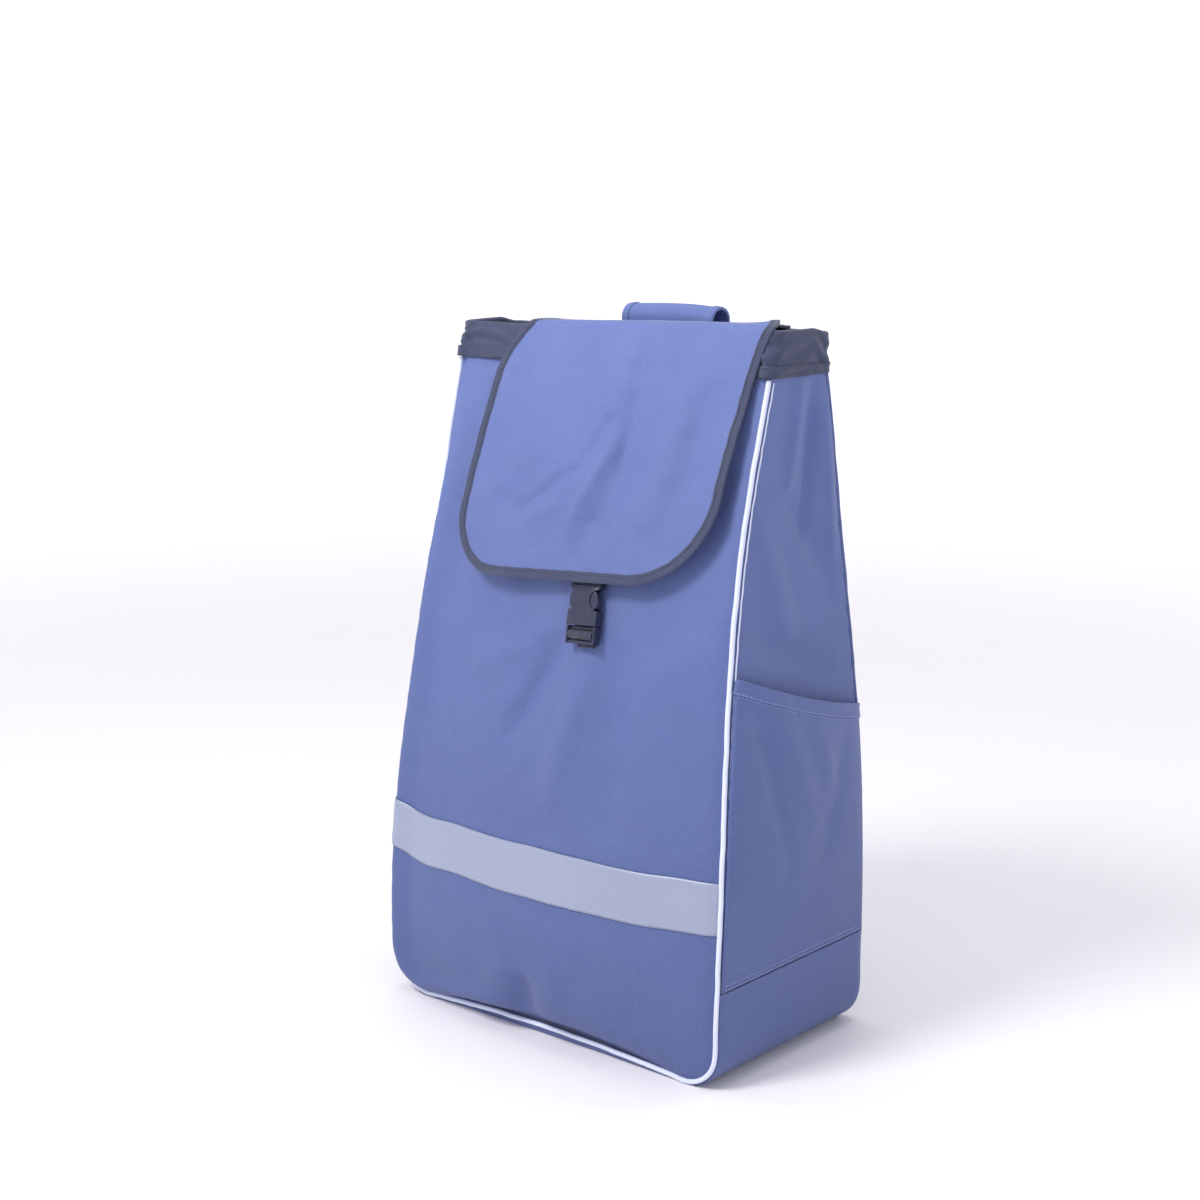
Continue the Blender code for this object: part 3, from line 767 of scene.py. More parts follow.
def make_finishes(book: NodeBook) -> dict[str, bpy.types.Material]:
    """Build every finish.

    Args:
        book: The shared node groups.

    Returns:
        The materials by name.
    """
    finishes = [
        # The blue twill is paled with height, as painted light from above.
        Finish("blue_twill", (0.092, 0.133, 0.338), 0.60, scale=7, amount=0.05, sheen=0.10,
               specular=0.35, pitch=0.0026, cross=0.6, depth=0.00018, thread_tone=0.22,
               dusty=0.03, painted_top_light=0.35),
        Finish("grey_binding", (0.040, 0.051, 0.108), 0.66, scale=16, amount=0.10, sheen=0.20,
               specular=0.30, pitch=0.00110, along=(0.0, 1.0), cross=0.35, depth=0.00014,
               thread_tone=0.30, dusty=0.02),
        Finish("white_piping", (0.70, 0.755, 0.93), 0.34, scale=20, amount=0.03, coat=0.25,
               grain_scale=900, grain_depth=0.00002),
        Finish("silver_tape", (0.30, 0.34, 0.47), 0.40, scale=12, amount=0.05, sheen=0.1,
               specular=0.6, metallic=0.12, pitch=0.0017, along=(1.0, 0.0), cross=1.0,
               depth=0.00003, thread_tone=0.06),
        Finish("grey_board", (0.050, 0.050, 0.056), 0.75, scale=25, amount=0.20,
               grain_scale=420, grain_depth=0.00012),
        Finish("grey_webbing", (0.036, 0.042, 0.078), 0.72, scale=30, amount=0.10, sheen=0.25,
               specular=0.3, pitch=0.0016, along=(0.5, 1.0), cross=0.8, depth=0.00022,
               thread_tone=0.40),
        Finish("grey_plastic", (0.020, 0.025, 0.060), 0.33, scale=40, amount=0.06,
               specular=0.50, grain_scale=1600, grain_depth=0.00003, dusty=0.01),
    ] + [
        Finish(name, colour, roughness, scale=60, amount=amount, sheen=0.2, pitch=0.0004,
               cross=0.2, depth=0.00003, thread_tone=0.2)
        for name, colour, roughness, amount in (
            ("blue_thread", (0.30, 0.36, 0.66), 0.60, 0.06),
            ("grey_thread", (0.060, 0.066, 0.100), 0.62, 0.06),
            ("pale_thread", (0.42, 0.46, 0.62), 0.58, 0.05))
    ]
    return {finish.name: finish.make(book) for finish in finishes}


@dataclass
class Workshop:
    """What every assembly needs: the finishes, and how a finished piece is handed over."""

    finishes: dict[str, bpy.types.Material]
    nodes: dict[str, bpy.types.Object]  # the frame's own pieces
    made: dict[str, bpy.types.Object] = field(default_factory=dict)

    def dress(self, obj: bpy.types.Object, finish: str, slot: Optional[Slot],
              replaced: Sequence[str] = ()) -> bpy.types.Object:
        """Give a piece its finish, and hide the frame nodes that it stands for.

        Args:
            obj: The piece.
            finish: Name of its finish.
            slot: The record's slot, or None for a piece with none, such as thread; not used.
            replaced: Frame nodes that it replaces.

        Returns:
            The piece.
        """
        obj.data.materials.clear()
        obj.data.materials.append(self.finishes[finish])
        if replaced:
            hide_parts(*replaced)
        self.made[obj.name] = obj
        LOG.info("%s: %d faces", obj.name, len(obj.data.polygons))
        return obj

    def sew(self, obj: bpy.types.Object, finish: str, slot: Optional[Slot],
            replaced: Sequence[str] = ()) -> bpy.types.Object:
        """Dress a piece as above, fasten it to the bag and return it."""
        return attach(self.dress(obj, finish, slot, replaced), Body.BAG.value)


# The shell


@dataclass(frozen=True)
class Shell:
    """The bag's shape: widths, leans and fullness as functions of height."""

    height: float = 0.570
    band_height: float = 0.036
    base_rise: float = 0.078
    half_base: float = 0.173
    half_waist: float = 0.1585
    half_mouth: float = 0.1605
    waist_foot: float = 0.10
    waist_top: float = 0.44
    corner_left: float = 0.043
    corner_right: float = 0.031
    front_foot: float = -0.104
    front_lean: float = 0.085
    front_power: float = 1.95
    back_foot: float = 0.090
    back_lean: float = 0.0445
    back_flat: float = 0.20
    back_power: float = 1.8
    bulge: float = 0.029
    bulge_rise: float = 0.10
    bulge_power: float = 2.2
    bulge_fade: float = 1.3
    cloth: float = 0.0015
    lining: float = 0.0012
    gap: float = 0.0003
    piping: float = 0.002  # radius
    arch: float = 0.006  # the front's lower edge rises this much in the middle
    arch_half: float = 0.138
    arch_fade: float = 0.055
    toe: float = 0.0055  # the front cloth's edge is this much higher still, over a dark strip
    overhang: float = 0.0030  # extra fullness just over the lower edge
    cheek: float = 0.0068  # the front cloth's edge is this much higher still, over a dark strip of painted shade and trim
    tuck: float = 0.0026  # a panel's edge stops this far from the corner line
    roll: float = 0.0017  # a panel's edge turns in this much beside a seam
    front_creases: tuple[Crease, ...] = (
        Crease((-0.014, 0.002), (-0.006, 0.056), 0.012, -0.0105),
        Crease((-0.060, 0.010), (-0.020, 0.070), 0.016, 0.0039),
        Crease((0.014, 0.010), (0.030, 0.080), 0.014, 0.0033),
        Crease((0.012, 0.330), (-0.042, 0.235), 0.011, -0.0069),
        Crease((0.036, 0.318), (0.010, 0.195), 0.015, 0.0066),
        Crease((0.060, 0.330), (0.072, 0.180), 0.019, -0.0060),
        Crease((0.014, 0.345), (-0.090, 0.290), 0.014, 0.0045),
        Crease((-0.150, 0.520), (-0.140, 0.360), 0.013, 0.0039),
        Crease((-0.128, 0.500), (-0.118, 0.330), 0.013, -0.0033),
        Crease((0.152, 0.520), (0.125, 0.400), 0.010, -0.0033),
        Crease((0.070, 0.290), (0.155, 0.335), 0.022, 0.0039),
        Crease((-0.030, 0.215), (0.050, 0.130), 0.030, -0.0033),
    )
    side_creases: tuple[Crease, ...] = (
        Crease((0.030, 0.535), (0.022, 0.410), 0.008, -0.0062),
        Crease((0.010, 0.535), (-0.004, 0.440), 0.008, 0.0044),
        Crease((0.043, 0.520), (0.060, 0.380), 0.008, 0.0052),
        Crease((-0.005, 0.450), (0.062, 0.365), 0.012, -0.0047),
        Crease((-0.044, 0.430), (0.000, 0.330), 0.015, 0.0044),
        Crease((-0.060, 0.345), (0.055, 0.300), 0.012, -0.0039),
    )

    @property
    def band_foot(self) -> float:
        """Height of the mouth band's lower edge."""
        return self.height - self.band_height

    def half_width(self, z: Array) -> Array:
        """Half the width: drawn in by a cosine up to the waist, let out again to the mouth."""
        share = clamp((z - self.waist_foot) / (self.waist_top - self.waist_foot))
        drawn_in = 0.5 - 0.5 * np.cos(math.pi * share)
        held_out = clamp((z - self.waist_top) / (self.height - self.waist_top))
        return (self.half_base - (self.half_base - self.half_waist) * drawn_in
                + (self.half_mouth - self.half_waist) * held_out)

    def front_y(self, z: Array) -> Array:
        """The plane curve of the front seams: it leans back with a power of the height."""
        return self.front_foot + self.front_lean * clamp(z / self.height) ** self.front_power

    def back_y(self, z: Array) -> Array:
        """The back: upright at first, then leaning forward with a power of the height."""
        lean = clamp((z - self.back_flat) / (self.band_foot - self.back_flat))
        return self.back_foot - self.back_lean * lean**self.back_power

    def fullness(self, x: Array, z: Array) -> Array:
        """How far the front stands out: a power across, a sine rise and a power fade."""
        across = 1 - np.minimum(1.0, np.abs(x) / self.half_width(z)) ** self.bulge_power
        rise = np.sin(0.5 * math.pi * clamp(z / self.bulge_rise))
        return self.bulge * across * rise * (1 - clamp(z / self.band_foot) ** self.bulge_fade)

    def panel_y(self, x: Array, z: Array) -> Array:
        """The front panel with no folds in it."""
        return self.front_y(z) - self.fullness(x, z)

    def flap_gap(self, z: Array, top: float, hem: float, foot: float) -> Array:
        """Distance from the front panel to the flap, growing evenly towards the hem."""
        return top + (hem - top) * clamp((self.height - z) / (self.height - foot))

    def slump(self, x: Array) -> Array:
        """How much lower the mouth and the lid hang towards the left."""
        return 0.0058 * smooth((0.12 - x) / 0.24)

    def lift(self, x: Array, z: Array) -> Array:
        """How far the front's lower edge is lifted: a parabola across, fading with height."""
        across = clamp(1 - (x / self.arch_half) ** 2)
        return self.arch * across * clamp(1 - z / self.arch_fade) ** 2

    def toe_lift(self, x: Array) -> Array:
        """How far the front cloth's own edge stands over the seam: a parabola across."""
        return self.toe * clamp(1 - ((x - 0.018) / 0.132) ** 2)

    def corner(self, x: Array) -> Array:
        """Radius of the lower corner on the side of x."""
        return np.where(x < 0, self.corner_left, self.corner_right)

    def from_edge(self, x: Array, z: Array, foot: Array) -> Array:
        """Distance inwards from the U-shaped edge, round its lower corners.

        Args:
            x: Position across.
            z: Height.
            foot: Height of the lower edge there.

        Returns:
            The distance.
        """
        corner = self.corner(x)
        dx, dz = np.abs(x) - (self.half_base - corner), corner - z
        straight = np.minimum(self.half_width(z) - np.abs(x), z - foot)
        return np.where((dx > 0) & (dz > 0), corner - np.hypot(dx, dz), straight)

    def front(self, x: Array, z: Array) -> Array:
        """The front cloth's outer face.

        The plain panel, fuller just over its lower edge, with folds and soft unevenness that
        fade at the seams, puckers beside the seams, and an edge that turns in to meet them.

        Args:
            x: Position across.
            z: Height.

        Returns:
            Points of the surface.
        """
        d = np.maximum(self.from_edge(x, z, self.lift(x, 0 * z) + self.toe_lift(x)), 0)
        inside = 1 - np.exp(-d / 0.018)
        across = clamp(1 - (x / (self.half_base - 0.012)) ** 2)
        low = self.overhang * across * np.exp(-(((z - 0.034) / 0.020) ** 2))
        soft = 0.0036 * crumple(x, z, 0.17, 5) + 0.0011 * crumple(x, z, 0.055, 6)
        folds = creased(self.front_creases, x, z)
        run = np.where(z > self.corner(x), z, -np.abs(x))
        pucker = 0.0008 * ripple(run + 0.4 * (x > 0), 0.024, 7) * np.exp(-d / 0.012)
        edge = np.exp(-((np.maximum(d - self.tuck, 0) / 0.0046) ** 1.6))
        left = self.cheek * np.exp(-(((d - 0.011) / 0.010) ** 2)) * smooth(-x / 0.04)
        left = left * smooth((self.band_foot - z) / 0.20)
        out = self.fullness(x, z) + low + left + (soft + folds) * inside + pucker
        out = out * (1 - edge)
        return stack(x - 0.8 * left * (1 - edge), self.front_y(z) - out + self.roll * edge, z)

    def back(self, a: Array, z: Array) -> Array:
        """The back cloth's outer face, with x counted leftwards, softly uneven and puckered."""
        d = self.from_edge(-a, z, 0 * z)
        inside = 1 - np.exp(-np.maximum(d, 0) / 0.020)
        soft = 0.0011 * crumple(a, z, 0.16, 15) * inside
        pucker = 0.0005 * ripple(z + 0.3 * np.sign(a), 0.026, 17) * np.exp(-np.maximum(d, 0) / 0.010)
        turned = self.roll * np.exp(-np.maximum(d - self.tuck, 0) / 0.0028)
        return stack(-a, self.back_y(z) + soft * 0.6 + pucker - turned - 0.0003, z)

    def side(self, y: Array, z: Array, sign: float) -> Array:
        """A side cloth's outer face, as a height over the plain side.

        Args:
            y: Position from front to back.
            z: Height.
            sign: 1 for the right side, -1 for the left.

        Returns:
            Points of the surface.
        """
        d = np.minimum(y - self.front_y(z), self.back_y(z) - y)
        inside = 1 - np.exp(-np.maximum(d, 0) / 0.012)
        above = smooth((z - 0.27) / 0.06)
        soft = 0.0021 * crumple(y, z, 0.13, 25 if sign > 0 else 26) * (above if sign > 0 else 1)
        folds = creased(self.side_creases, y, z) * above
        pucker = 0.0005 * ripple(z, 0.023, 27) * np.exp(-np.maximum(d, 0) / 0.010)
        turned = 0.0012 * np.exp(-np.maximum(d - self.tuck, 0) / 0.0026)
        bumps = (soft + folds) * inside
        bumps = np.where(bumps < 0, bumps * smooth((d - 0.008) / 0.018), bumps)
        out = bumps + pucker - turned - 0.0002
        return stack(sign * (self.half_width(z) + out), y, z)

    def right(self, y: Array, z: Array) -> Array:
        """The right side as a surface."""
        return self.side(y, z, 1.0)

    def left(self, a: Array, z: Array) -> Array:
        """The left side as a surface, with y counted forwards."""
        return self.side(-a, z, -1.0)

    def outline(self, inset: float, top: float) -> Array:
        """Points (x, z) of the U-shaped seam, from the left top to the right top.

        Two straight uprights, two quarter circles and a lower run that is lifted in the middle.

        Args:
            inset: Distance inside the seam's own line.
            top: Height of both ends.

        Returns:
            The points, one a row.
        """
        left = self.upright(inset, self.corner_left, top) * np.array([-1, 1])
        right = self.upright(inset, self.corner_right, top)
        run = np.linspace(left[0], right[0], 70)[1:-1]
        line = np.concatenate([left[::-1], run, right])
        line[:, 1] += self.lift(line[:, 0], line[:, 1])
        return line

    def upright(self, inset: float, corner: float, top: float) -> Array:
        """Points (x, z) of the seam's right half, from the foot of its corner to its top.

        Args:
            inset: Distance inside the seam's own line.
            corner: Radius of the corner.
            top: Height of the end.

        Returns:
            The points, one a row.
        """
        angle = np.linspace(0, 0.5 * math.pi, 22)
        z = np.linspace(corner, top, 121)[1:]
        x = np.concatenate([self.half_base - corner + (corner - inset) * np.sin(angle),
                            self.half_width(z) - inset])
        return np.stack([x, np.concatenate([corner - (corner - inset) * np.cos(angle), z])], -1)

    def panel_grid(self, columns: int, top: float) -> tuple[Array, Array]:
        """A grid over a front or back panel whose ends follow its rounded outline.

        Args:
            columns: Number of steps across.
            top: Height of the upper edge.

        Returns:
            Arrays of x and z, rows first.
        """
        left = self.upright(self.tuck, self.corner_left, top) * np.array([-1, 1])
        right = self.upright(self.tuck, self.corner_right, top)
        share = np.linspace(0, 1, columns + 1)[:, None]
        grid = left[:, None] + (right - left)[:, None] * share
        return grid[..., 0], grid[..., 1]


@dataclass
class BagShell:
    """The sewn shell: panels, base, piping, seams, seam tapes, reflective tape and board."""

    shop: Workshop
    shell: Shell
    tape_foot: float = 0.123
    tape_height: float = 0.040
    tape_thickness: float = 0.0006
    trim_gap: float = 0.0005
    seam_tape: float = 0.010
    top: float = 0.5510  # the panels end inside the mouth band

    def build(self) -> None:
        """Build every piece of the shell."""
        self.panels()
        self.base()
        self.piping()
        self.seam_tapes()
        self.reflective()
        self.board()

    def panels(self) -> None:
        """The front, the back and both sides as sheets on their surfaces."""
        s = self.shell
        x, z = s.panel_grid(130, self.top)
        z = z + s.lift(x, z) + s.toe_lift(x) * clamp(1 - z / 0.06) ** 2
        front = Patchwork().grid(s.front(x, z), np.stack([x, z], -1)).build("front_cloth", False)
        x, z = s.panel_grid(90, self.top)
        a, z = -x[:, ::-1], z[:, ::-1]
        back = Patchwork().grid(s.back(a, z), np.stack([a, z], -1)).build("back_cloth", False)
        z = np.linspace(s.base_rise, self.top, 150)[:, None]
        share = np.linspace(0, 1, 61)
        near, far = s.front_y(z) + s.tuck, s.back_y(z) - s.tuck
        y = near + (far - near) * share
        z = np.broadcast_to(z, y.shape)
        right = Patchwork().grid(s.right(y, z), np.stack([y, z], -1)).build("side_right", False)
        left = Patchwork().grid(
            s.left(-y[:, ::-1], z), np.stack([-y[:, ::-1], z], -1)).build("side_left", False)
        rows = (
            (front, "front_panel", (0.346, 0.558), 0.182), (back, "back_panel", (0.346, 0.556), 0.181),
            (right, "gusset_right", (0.190, 0.475), 0.065), (left, "gusset_left", (0.190, 0.475), 0.065))
        for obj, node, flat, area in rows:
            thicken(obj, s.cloth)
            self.shop.sew(obj, "blue_twill", Slot.BAG_CLOTH, [node])

    def base(self) -> None:
        """The base: one strip that turns up at both sides, with a low wall under the piping.

        Across the strip, from front to back, the first few millimetres drop from the lifted
        seam to the floor by one minus a quarter sine, and the rest lies flat.
        """
        s = self.shell
        line = s.outline(0.0, s.base_rise)
        line[:, 1] -= s.lift(line[:, 0], 0 * line[:, 1])
        x, z = line[:, :1], np.maximum(line[:, 1:], 0.0002)
        wall = np.linspace(0, 1, 9)
        near, far = s.front_y(z) + 0.0022, s.back_y(z) - s.tuck
        y = np.concatenate([near + 0.0045 * wall, near + 0.0045 + (far - near - 0.0045)
                            * np.linspace(0, 1, 46)[1:]], axis=1)
        drop = np.concatenate([1 - np.sin(0.5 * math.pi * wall) ** 0.8, np.zeros(45)])
        z = z + s.lift(x, z) * 1.1 * drop
        depth = np.minimum(y - near, far - y)
        tucked = 0.0010 * np.exp(-np.maximum(depth, 0) / 0.003) * smooth(z / 0.03)
        points = stack(x - np.sign(x) * tucked, y, z)
        obj = Patchwork().grid(points[:, ::-1]).build("base_cloth", False)
        thicken(obj, s.cloth)
        self.shop.sew(obj, "blue_twill", Slot.BAG_CLOTH, ["base_panel"])
        # Painted shade: a dark strip in the binding's finish under the front's lower edge stands for the
        # shadow under its overhang, and for a dark trim there.
        x = np.linspace(-0.128, 0.138, 90)
        foot = s.lift(x, 0 * x)
        share = np.linspace(0, 1, 6)[:, None]
        z = foot + 0.0030 + (s.toe_lift(x) + 0.0030) * share
        points = stack(x, s.front_y(z) + 0.0020 + 0.0016 * share, z)
        toe = Patchwork().grid(points).build("toe_shade_and_trim", False)
        thicken(toe, 0.0008)
        self.shop.sew(toe, "grey_binding", Slot.TRIM_CLOTH)

    def piping(self) -> None:
        """The white piping round the front, its sewn flange, and the rolled seam at the back."""
        s = self.shell
        top = s.band_foot - 0.0010
        line = resample(s.outline(s.piping + s.gap, top), 0.003)
        x, z = line[:, 0], line[:, 1]
        sway = 0.0005 * ripple(np.arange(len(x)) * 0.003, 0.06, 31)
        path = stack(x, s.front_y(z) + 0.5 * s.piping + sway, z)
        tube = Patchwork().rings(swept(path, (0, -1, 0), 2 * s.piping, 2 * s.piping, 1.0, 14))
        self.shop.sew(
            tube.build("front_piping_cord"), "white_piping", Slot.PIPING, ["front_piping"])

        path = stack(x, s.back_y(z) - 0.5 * s.piping + sway, z)
        path = path - stack(0 * x, 0 * x, s.lift(x, z))
        tube = Patchwork().rings(swept(path, (0, 1, 0), 2 * s.piping, 2 * s.piping, 0.9, 12))
        self.shop.sew(tube.build("back_seam_roll"), "blue_twill", Slot.BAG_CLOTH, ["back_seam"])

        work, flange = Patchwork(), Patchwork()
        for surface, edge in ((s.right, 1.0), (s.left, -1.0)):
            z = np.linspace(s.base_rise + 0.004, top - 0.002, 150)
            line = np.stack([edge * (s.front_y(z) + 0.0048), z], -1)
            flange.rings(laid_strip(surface, line, 0.0013, 0.0010, 0.0006, 0.7, count=10))
            line = np.stack([edge * (s.back_y(z) - 0.0062), z], -1)
            stitch_row(work, surface, line, 0.0002)
        self.shop.sew(work.build("seam_stitches"), "blue_thread", None)
        self.shop.sew(flange.build("piping_flange"), "white_piping", Slot.PIPING)

    def seam_tapes(self) -> None:
        """Bound seam allowances inside the bag, front and back, puckered along their edges."""
        s = self.shell
        for name, node, face, step in (
                ("front_seam_binding", "front_seam_tape", s.front_y, 1.0),
                ("back_seam_binding", "back_seam_tape", s.back_y, -1.0)):
            line = resample(s.outline(s.cloth + s.gap + 0.0002, s.band_foot - 0.002), 0.004)
            x, z = line[:, :1], line[:, 1:]
            run = np.arange(len(line))[:, None] * 0.004
            across = np.linspace(0, 1, 7)
            y = face(z) + step * (0.0044 + self.seam_tape * across) + 0 * across
            away = 0.0009 * (0.5 + 0.5 * ripple(run, 0.02, 41)) * across
            points = stack(x - np.sign(x) * away * (z > 0.02), y, z + away * (z <= 0.02) + 0.0003)
            points = points[:, ::-1] if step > 0 else points
            obj = Patchwork().grid(points).build(name, False)
            thicken(obj, 0.0009)
            self.shop.sew(obj, "grey_binding", Slot.TRIM_CLOTH, [node])

    def tape_rise(self, x: Array) -> Array:
        """How much higher the reflective tape runs where it turns round the left corner."""
        return 0.0070 * smooth((-x - 0.138) / 0.030) - 0.0015 * np.exp(-(((x + 0.125) / 0.02) ** 2))

    def reflective(self) -> None:
        """The reflective tape across the front, with a row of stitches along each edge."""
        s = self.shell
        z = np.linspace(self.tape_foot, self.tape_foot + self.tape_height, 17)[:, None]
        x = (s.half_width(z) - s.tuck - 0.0008) * np.linspace(-1, 1, 131)
        sag = -0.0006 * clamp(1 - (x / s.half_base) ** 2) + 0.0005 * ripple(x, 0.12, 51)
        z = np.broadcast_to(z, x.shape) + sag + self.tape_rise(x)
        points = raised(s.front, x, z, np.full(x.shape, self.trim_gap + self.tape_thickness))
        obj = Patchwork().grid(points, np.stack([x, z], -1)).build("silver_band", False)
        thicken(obj, self.tape_thickness)
        tape = self.shop.sew(obj, "silver_tape", Slot.REFLECTIVE, ["reflective_tape"])
        work = Patchwork()
        for rise in (0.0022, self.tape_height - 0.0022):
            edge = np.linspace(-0.163, 0.163, 140)
            line = np.stack([edge, np.full(len(edge), self.tape_foot + rise)], -1)
            line[:, 1] += 0.0005 * ripple(edge, 0.12, 51) - 0.0005 + self.tape_rise(edge)
            stitch_row(work, s.front, line, self.trim_gap + self.tape_thickness, 0.0028, 0.00025)
        thread = self.shop.sew(work.build("band_stitches"), "pale_thread", None)

    def board(self) -> None:
        """The frame's own base board, with a fibreboard finish."""
        node = self.shop.nodes["base_board"]
        node.data.materials.clear()
        node.data.materials.append(self.shop.finishes["grey_board"])
        self.shop.made["base_board"] = node


# Mouth band, pocket and sleeve


@dataclass
class MouthBand:
    """The channel of dark tape round the mouth, gathered over the seams, with a bound foot."""

    shop: Workshop
    shell: Shell
    corner: float = 0.0062
    ply: float = 0.0016  # from the shell's line to the band's outer face
    inner: float = -0.0030
    ridge: float = 0.0026
    binding: float = 0.0085
    girth: float = 0.80  # round the mouth, which turns a share of the way into metres

    def loop(self, s: Array, z: Array) -> Array:
        """The mouth's outline as a surface: s is the way round from the middle of the back.

        A rectangle with quarter circles at its corners, made by walking its straight runs and
        arcs in order, and anticlockwise seen from above.

        Args:
            s: Share of the way round, 0 to 1.
            z: Height.

        Returns:
            Points of the surface.
        """
        s, z = np.broadcast_arrays(np.asarray(s, float), np.asarray(z, float))
        shell, r = self.shell, self.corner
        half, near, far = shell.half_width(z), shell.front_y(z), shell.back_y(z)
        wide, deep = half - r, 0.5 * (far - near) - r
        middle = 0.5 * (far + near)
        arc = 0.5 * math.pi * r
        runs = np.stack([wide, arc + 0 * z, 2 * deep, arc + 0 * z, 2 * wide, arc + 0 * z,
                         2 * deep, arc + 0 * z, wide], axis=-1)
        ends = np.cumsum(runs, axis=-1)
        at = (s % 1.0) * ends[..., -1]
        part = (at[..., None] >= ends).sum(-1).clip(0, 8)
        starts = np.concatenate([np.zeros(ends.shape[:-1] + (1,)), ends], axis=-1)
        t = at - np.take_along_axis(starts, part[..., None], -1)[..., 0]
        turn = t / r
        choices_x = [-t, -wide - r * np.sin(turn), -half, -wide - r * np.cos(turn), t - wide,
                     wide + r * np.sin(turn), half, wide + r * np.cos(turn), wide - t]
        choices_y = [middle + deep + r + 0 * t, middle + deep + r * np.cos(turn), middle + deep - t,
                     middle - deep - r * np.sin(turn), middle - deep - r + 0 * t,
                     middle - deep - r * np.cos(turn), middle - deep + t,
                     middle + deep + r * np.sin(turn), middle + deep + r + 0 * t]
        return stack(np.choose(part, choices_x), np.choose(part, choices_y), z)

    def outside(self, s: Array, z: Array) -> Array:
        """Outward bumps of the band: drag lines round it, and gathers over each front seam.

        Args:
            s: Share of the way round.
            z: Height.

        Returns:
            Height of the cloth over the plain band.
        """
        shell = self.shell
        up = (z - shell.band_foot) / shell.band_height
        run = s * self.girth
        drag = 0.0009 * np.sin(2 * math.pi * (2.3 * up + 0.7 * ripple(run, 0.11, 61)))
        drag = drag * np.sin(math.pi * clamp(up)) ** 0.7
        total = drag + 0.0013 * crumple(run, z, 0.045, 62) * np.sin(math.pi * clamp(up))
        for seam in self.seams():
            away = np.abs(s - seam) * self.girth
            total = total + self.ridge * np.exp(-((away / 0.0045) ** 2))
            total = total + 0.0007 * np.sin(2 * math.pi * (z + 0.6 * away) / 0.0075) * np.exp(
                -((away / 0.010) ** 2))
        return total

    def seams(self) -> tuple[float, float]:
        """Where the two front corners lie, as shares of the way round at mid height."""
        z = self.shell.height - 0.5 * self.shell.band_height
        half = float(self.shell.half_width(np.array(z)))
        depth = float(self.shell.back_y(np.array(z)) - self.shell.front_y(np.array(z)))
        around = 4 * half + 2 * depth - 8 * self.corner + 2 * math.pi * self.corner
        first = (half + depth - 2 * self.corner + 0.75 * math.pi * self.corner) / around
        return first, 1 - first

    def build(self) -> None:
        """The band, the binding along its foot, and their stitches."""
        s = self.shell
        share = np.linspace(0, 1, 620, endpoint=False)[:, None]
        out, inn, top, foot = self.ply, self.inner, s.height - 0.0003, s.band_foot - 0.0004
        turn = np.linspace(0, math.pi, 9)
        middle, half = 0.5 * (out + inn), 0.5 * (out - inn)
        z_out = np.linspace(foot, top - half, 22)
        z = np.concatenate([z_out, top - half + half * np.sin(turn)[1:-1], z_out[::-1]])
        off = np.concatenate([np.full(22, out), middle + half * np.cos(turn)[1:-1],
                              np.full(22, inn)])
        facing = np.concatenate([np.ones(22), np.cos(turn)[1:-1], -np.ones(22)])
        z = np.broadcast_to(z, (len(share), len(z)))
        behind = smooth((np.abs(share - 0.5) - 0.26) / 0.03)
        droop = -(0.0010 * (0.5 + 0.5 * ripple(share * self.girth, 0.16, 63)) + 0.0040 * behind) * smooth(
            (z - s.band_foot) / s.band_height)
        around = np.broadcast_to(share, z.shape)
        bumps = self.outside(around, z) * np.maximum(facing, 0) + 0.0004 * crumple(
            around * self.girth, z, 0.04, 64) * np.minimum(facing, 0)
        fall = s.slump(self.loop(around, z)[..., 0]) * smooth((z - s.band_foot) / s.band_height)
        points = raised(self.loop, around, z + droop - fall, off + bumps)
        # The profile runs up the outside and down the inside, and closes under the foot.
        band = Patchwork().rings(points, closed=True).build("mouth_band_cloth")
        self.shop.sew(band, "grey_binding", Slot.TRIM_CLOTH, ["mouth_band"])

        line = np.stack([share[:, 0], np.full(len(share), s.band_foot + 0.5 * self.binding)], -1)
        work = Patchwork().rings(self.strip(line, self.binding, 0.0012, 65), closed=True)
        foot_tape = self.shop.sew(work.build("band_foot_binding"), "grey_binding", Slot.TRIM_CLOTH)
        work = Patchwork()
        for rise in (0.0018, self.binding - 0.0016):
            line = np.stack([np.linspace(0.0, 0.9999, 900),
                             np.full(900, s.band_foot + rise)], -1)
            self.stitches(work, line)
        thread = self.shop.sew(work.build("mouth_stitches"), "grey_thread", None)

    def strip(self, line: Array, width: float, thickness: float, seed: int) -> Array:
        """Rings of a band that lies on the mouth band, all the way round.

        Args:
            line: Points (share of the way round, height).
            width: Height of the band.
            thickness: Thickness of the band.
            seed: Seed of its puckers.

        Returns:
            The rings.
        """
        up, out = section(width, thickness, 0.45, 14)
        s, z = line[:, :1] + 0 * up, line[:, 1:] + up
        wave = 0.0005 * ripple(line[:, :1] * self.girth, 0.03, seed)
        z = z + 0.0006 * ripple(line[:, :1] * self.girth, 0.13, seed + 1)
        held = np.maximum(self.outside(s, z), -0.0004)
        return raised(self.loop, s, z, self.ply + 0.5 * thickness + held + out + wave * 0.3)

    def stitches(self, work: Patchwork, line: Array) -> None:
        """A row of stitches round the foot binding, on the surface that it lies on."""
        def surface(a: Array, b: Array) -> Array:
            """The binding's outer face, with a in metres round the mouth."""
            share = a / self.girth
            return raised(self.loop, share, b, self.ply + 0.0011 + np.maximum(
                self.outside(share, b), -0.0004))
        stitch_row(work, surface, np.stack([line[:, 0] * self.girth, line[:, 1]], -1), 0.0002)


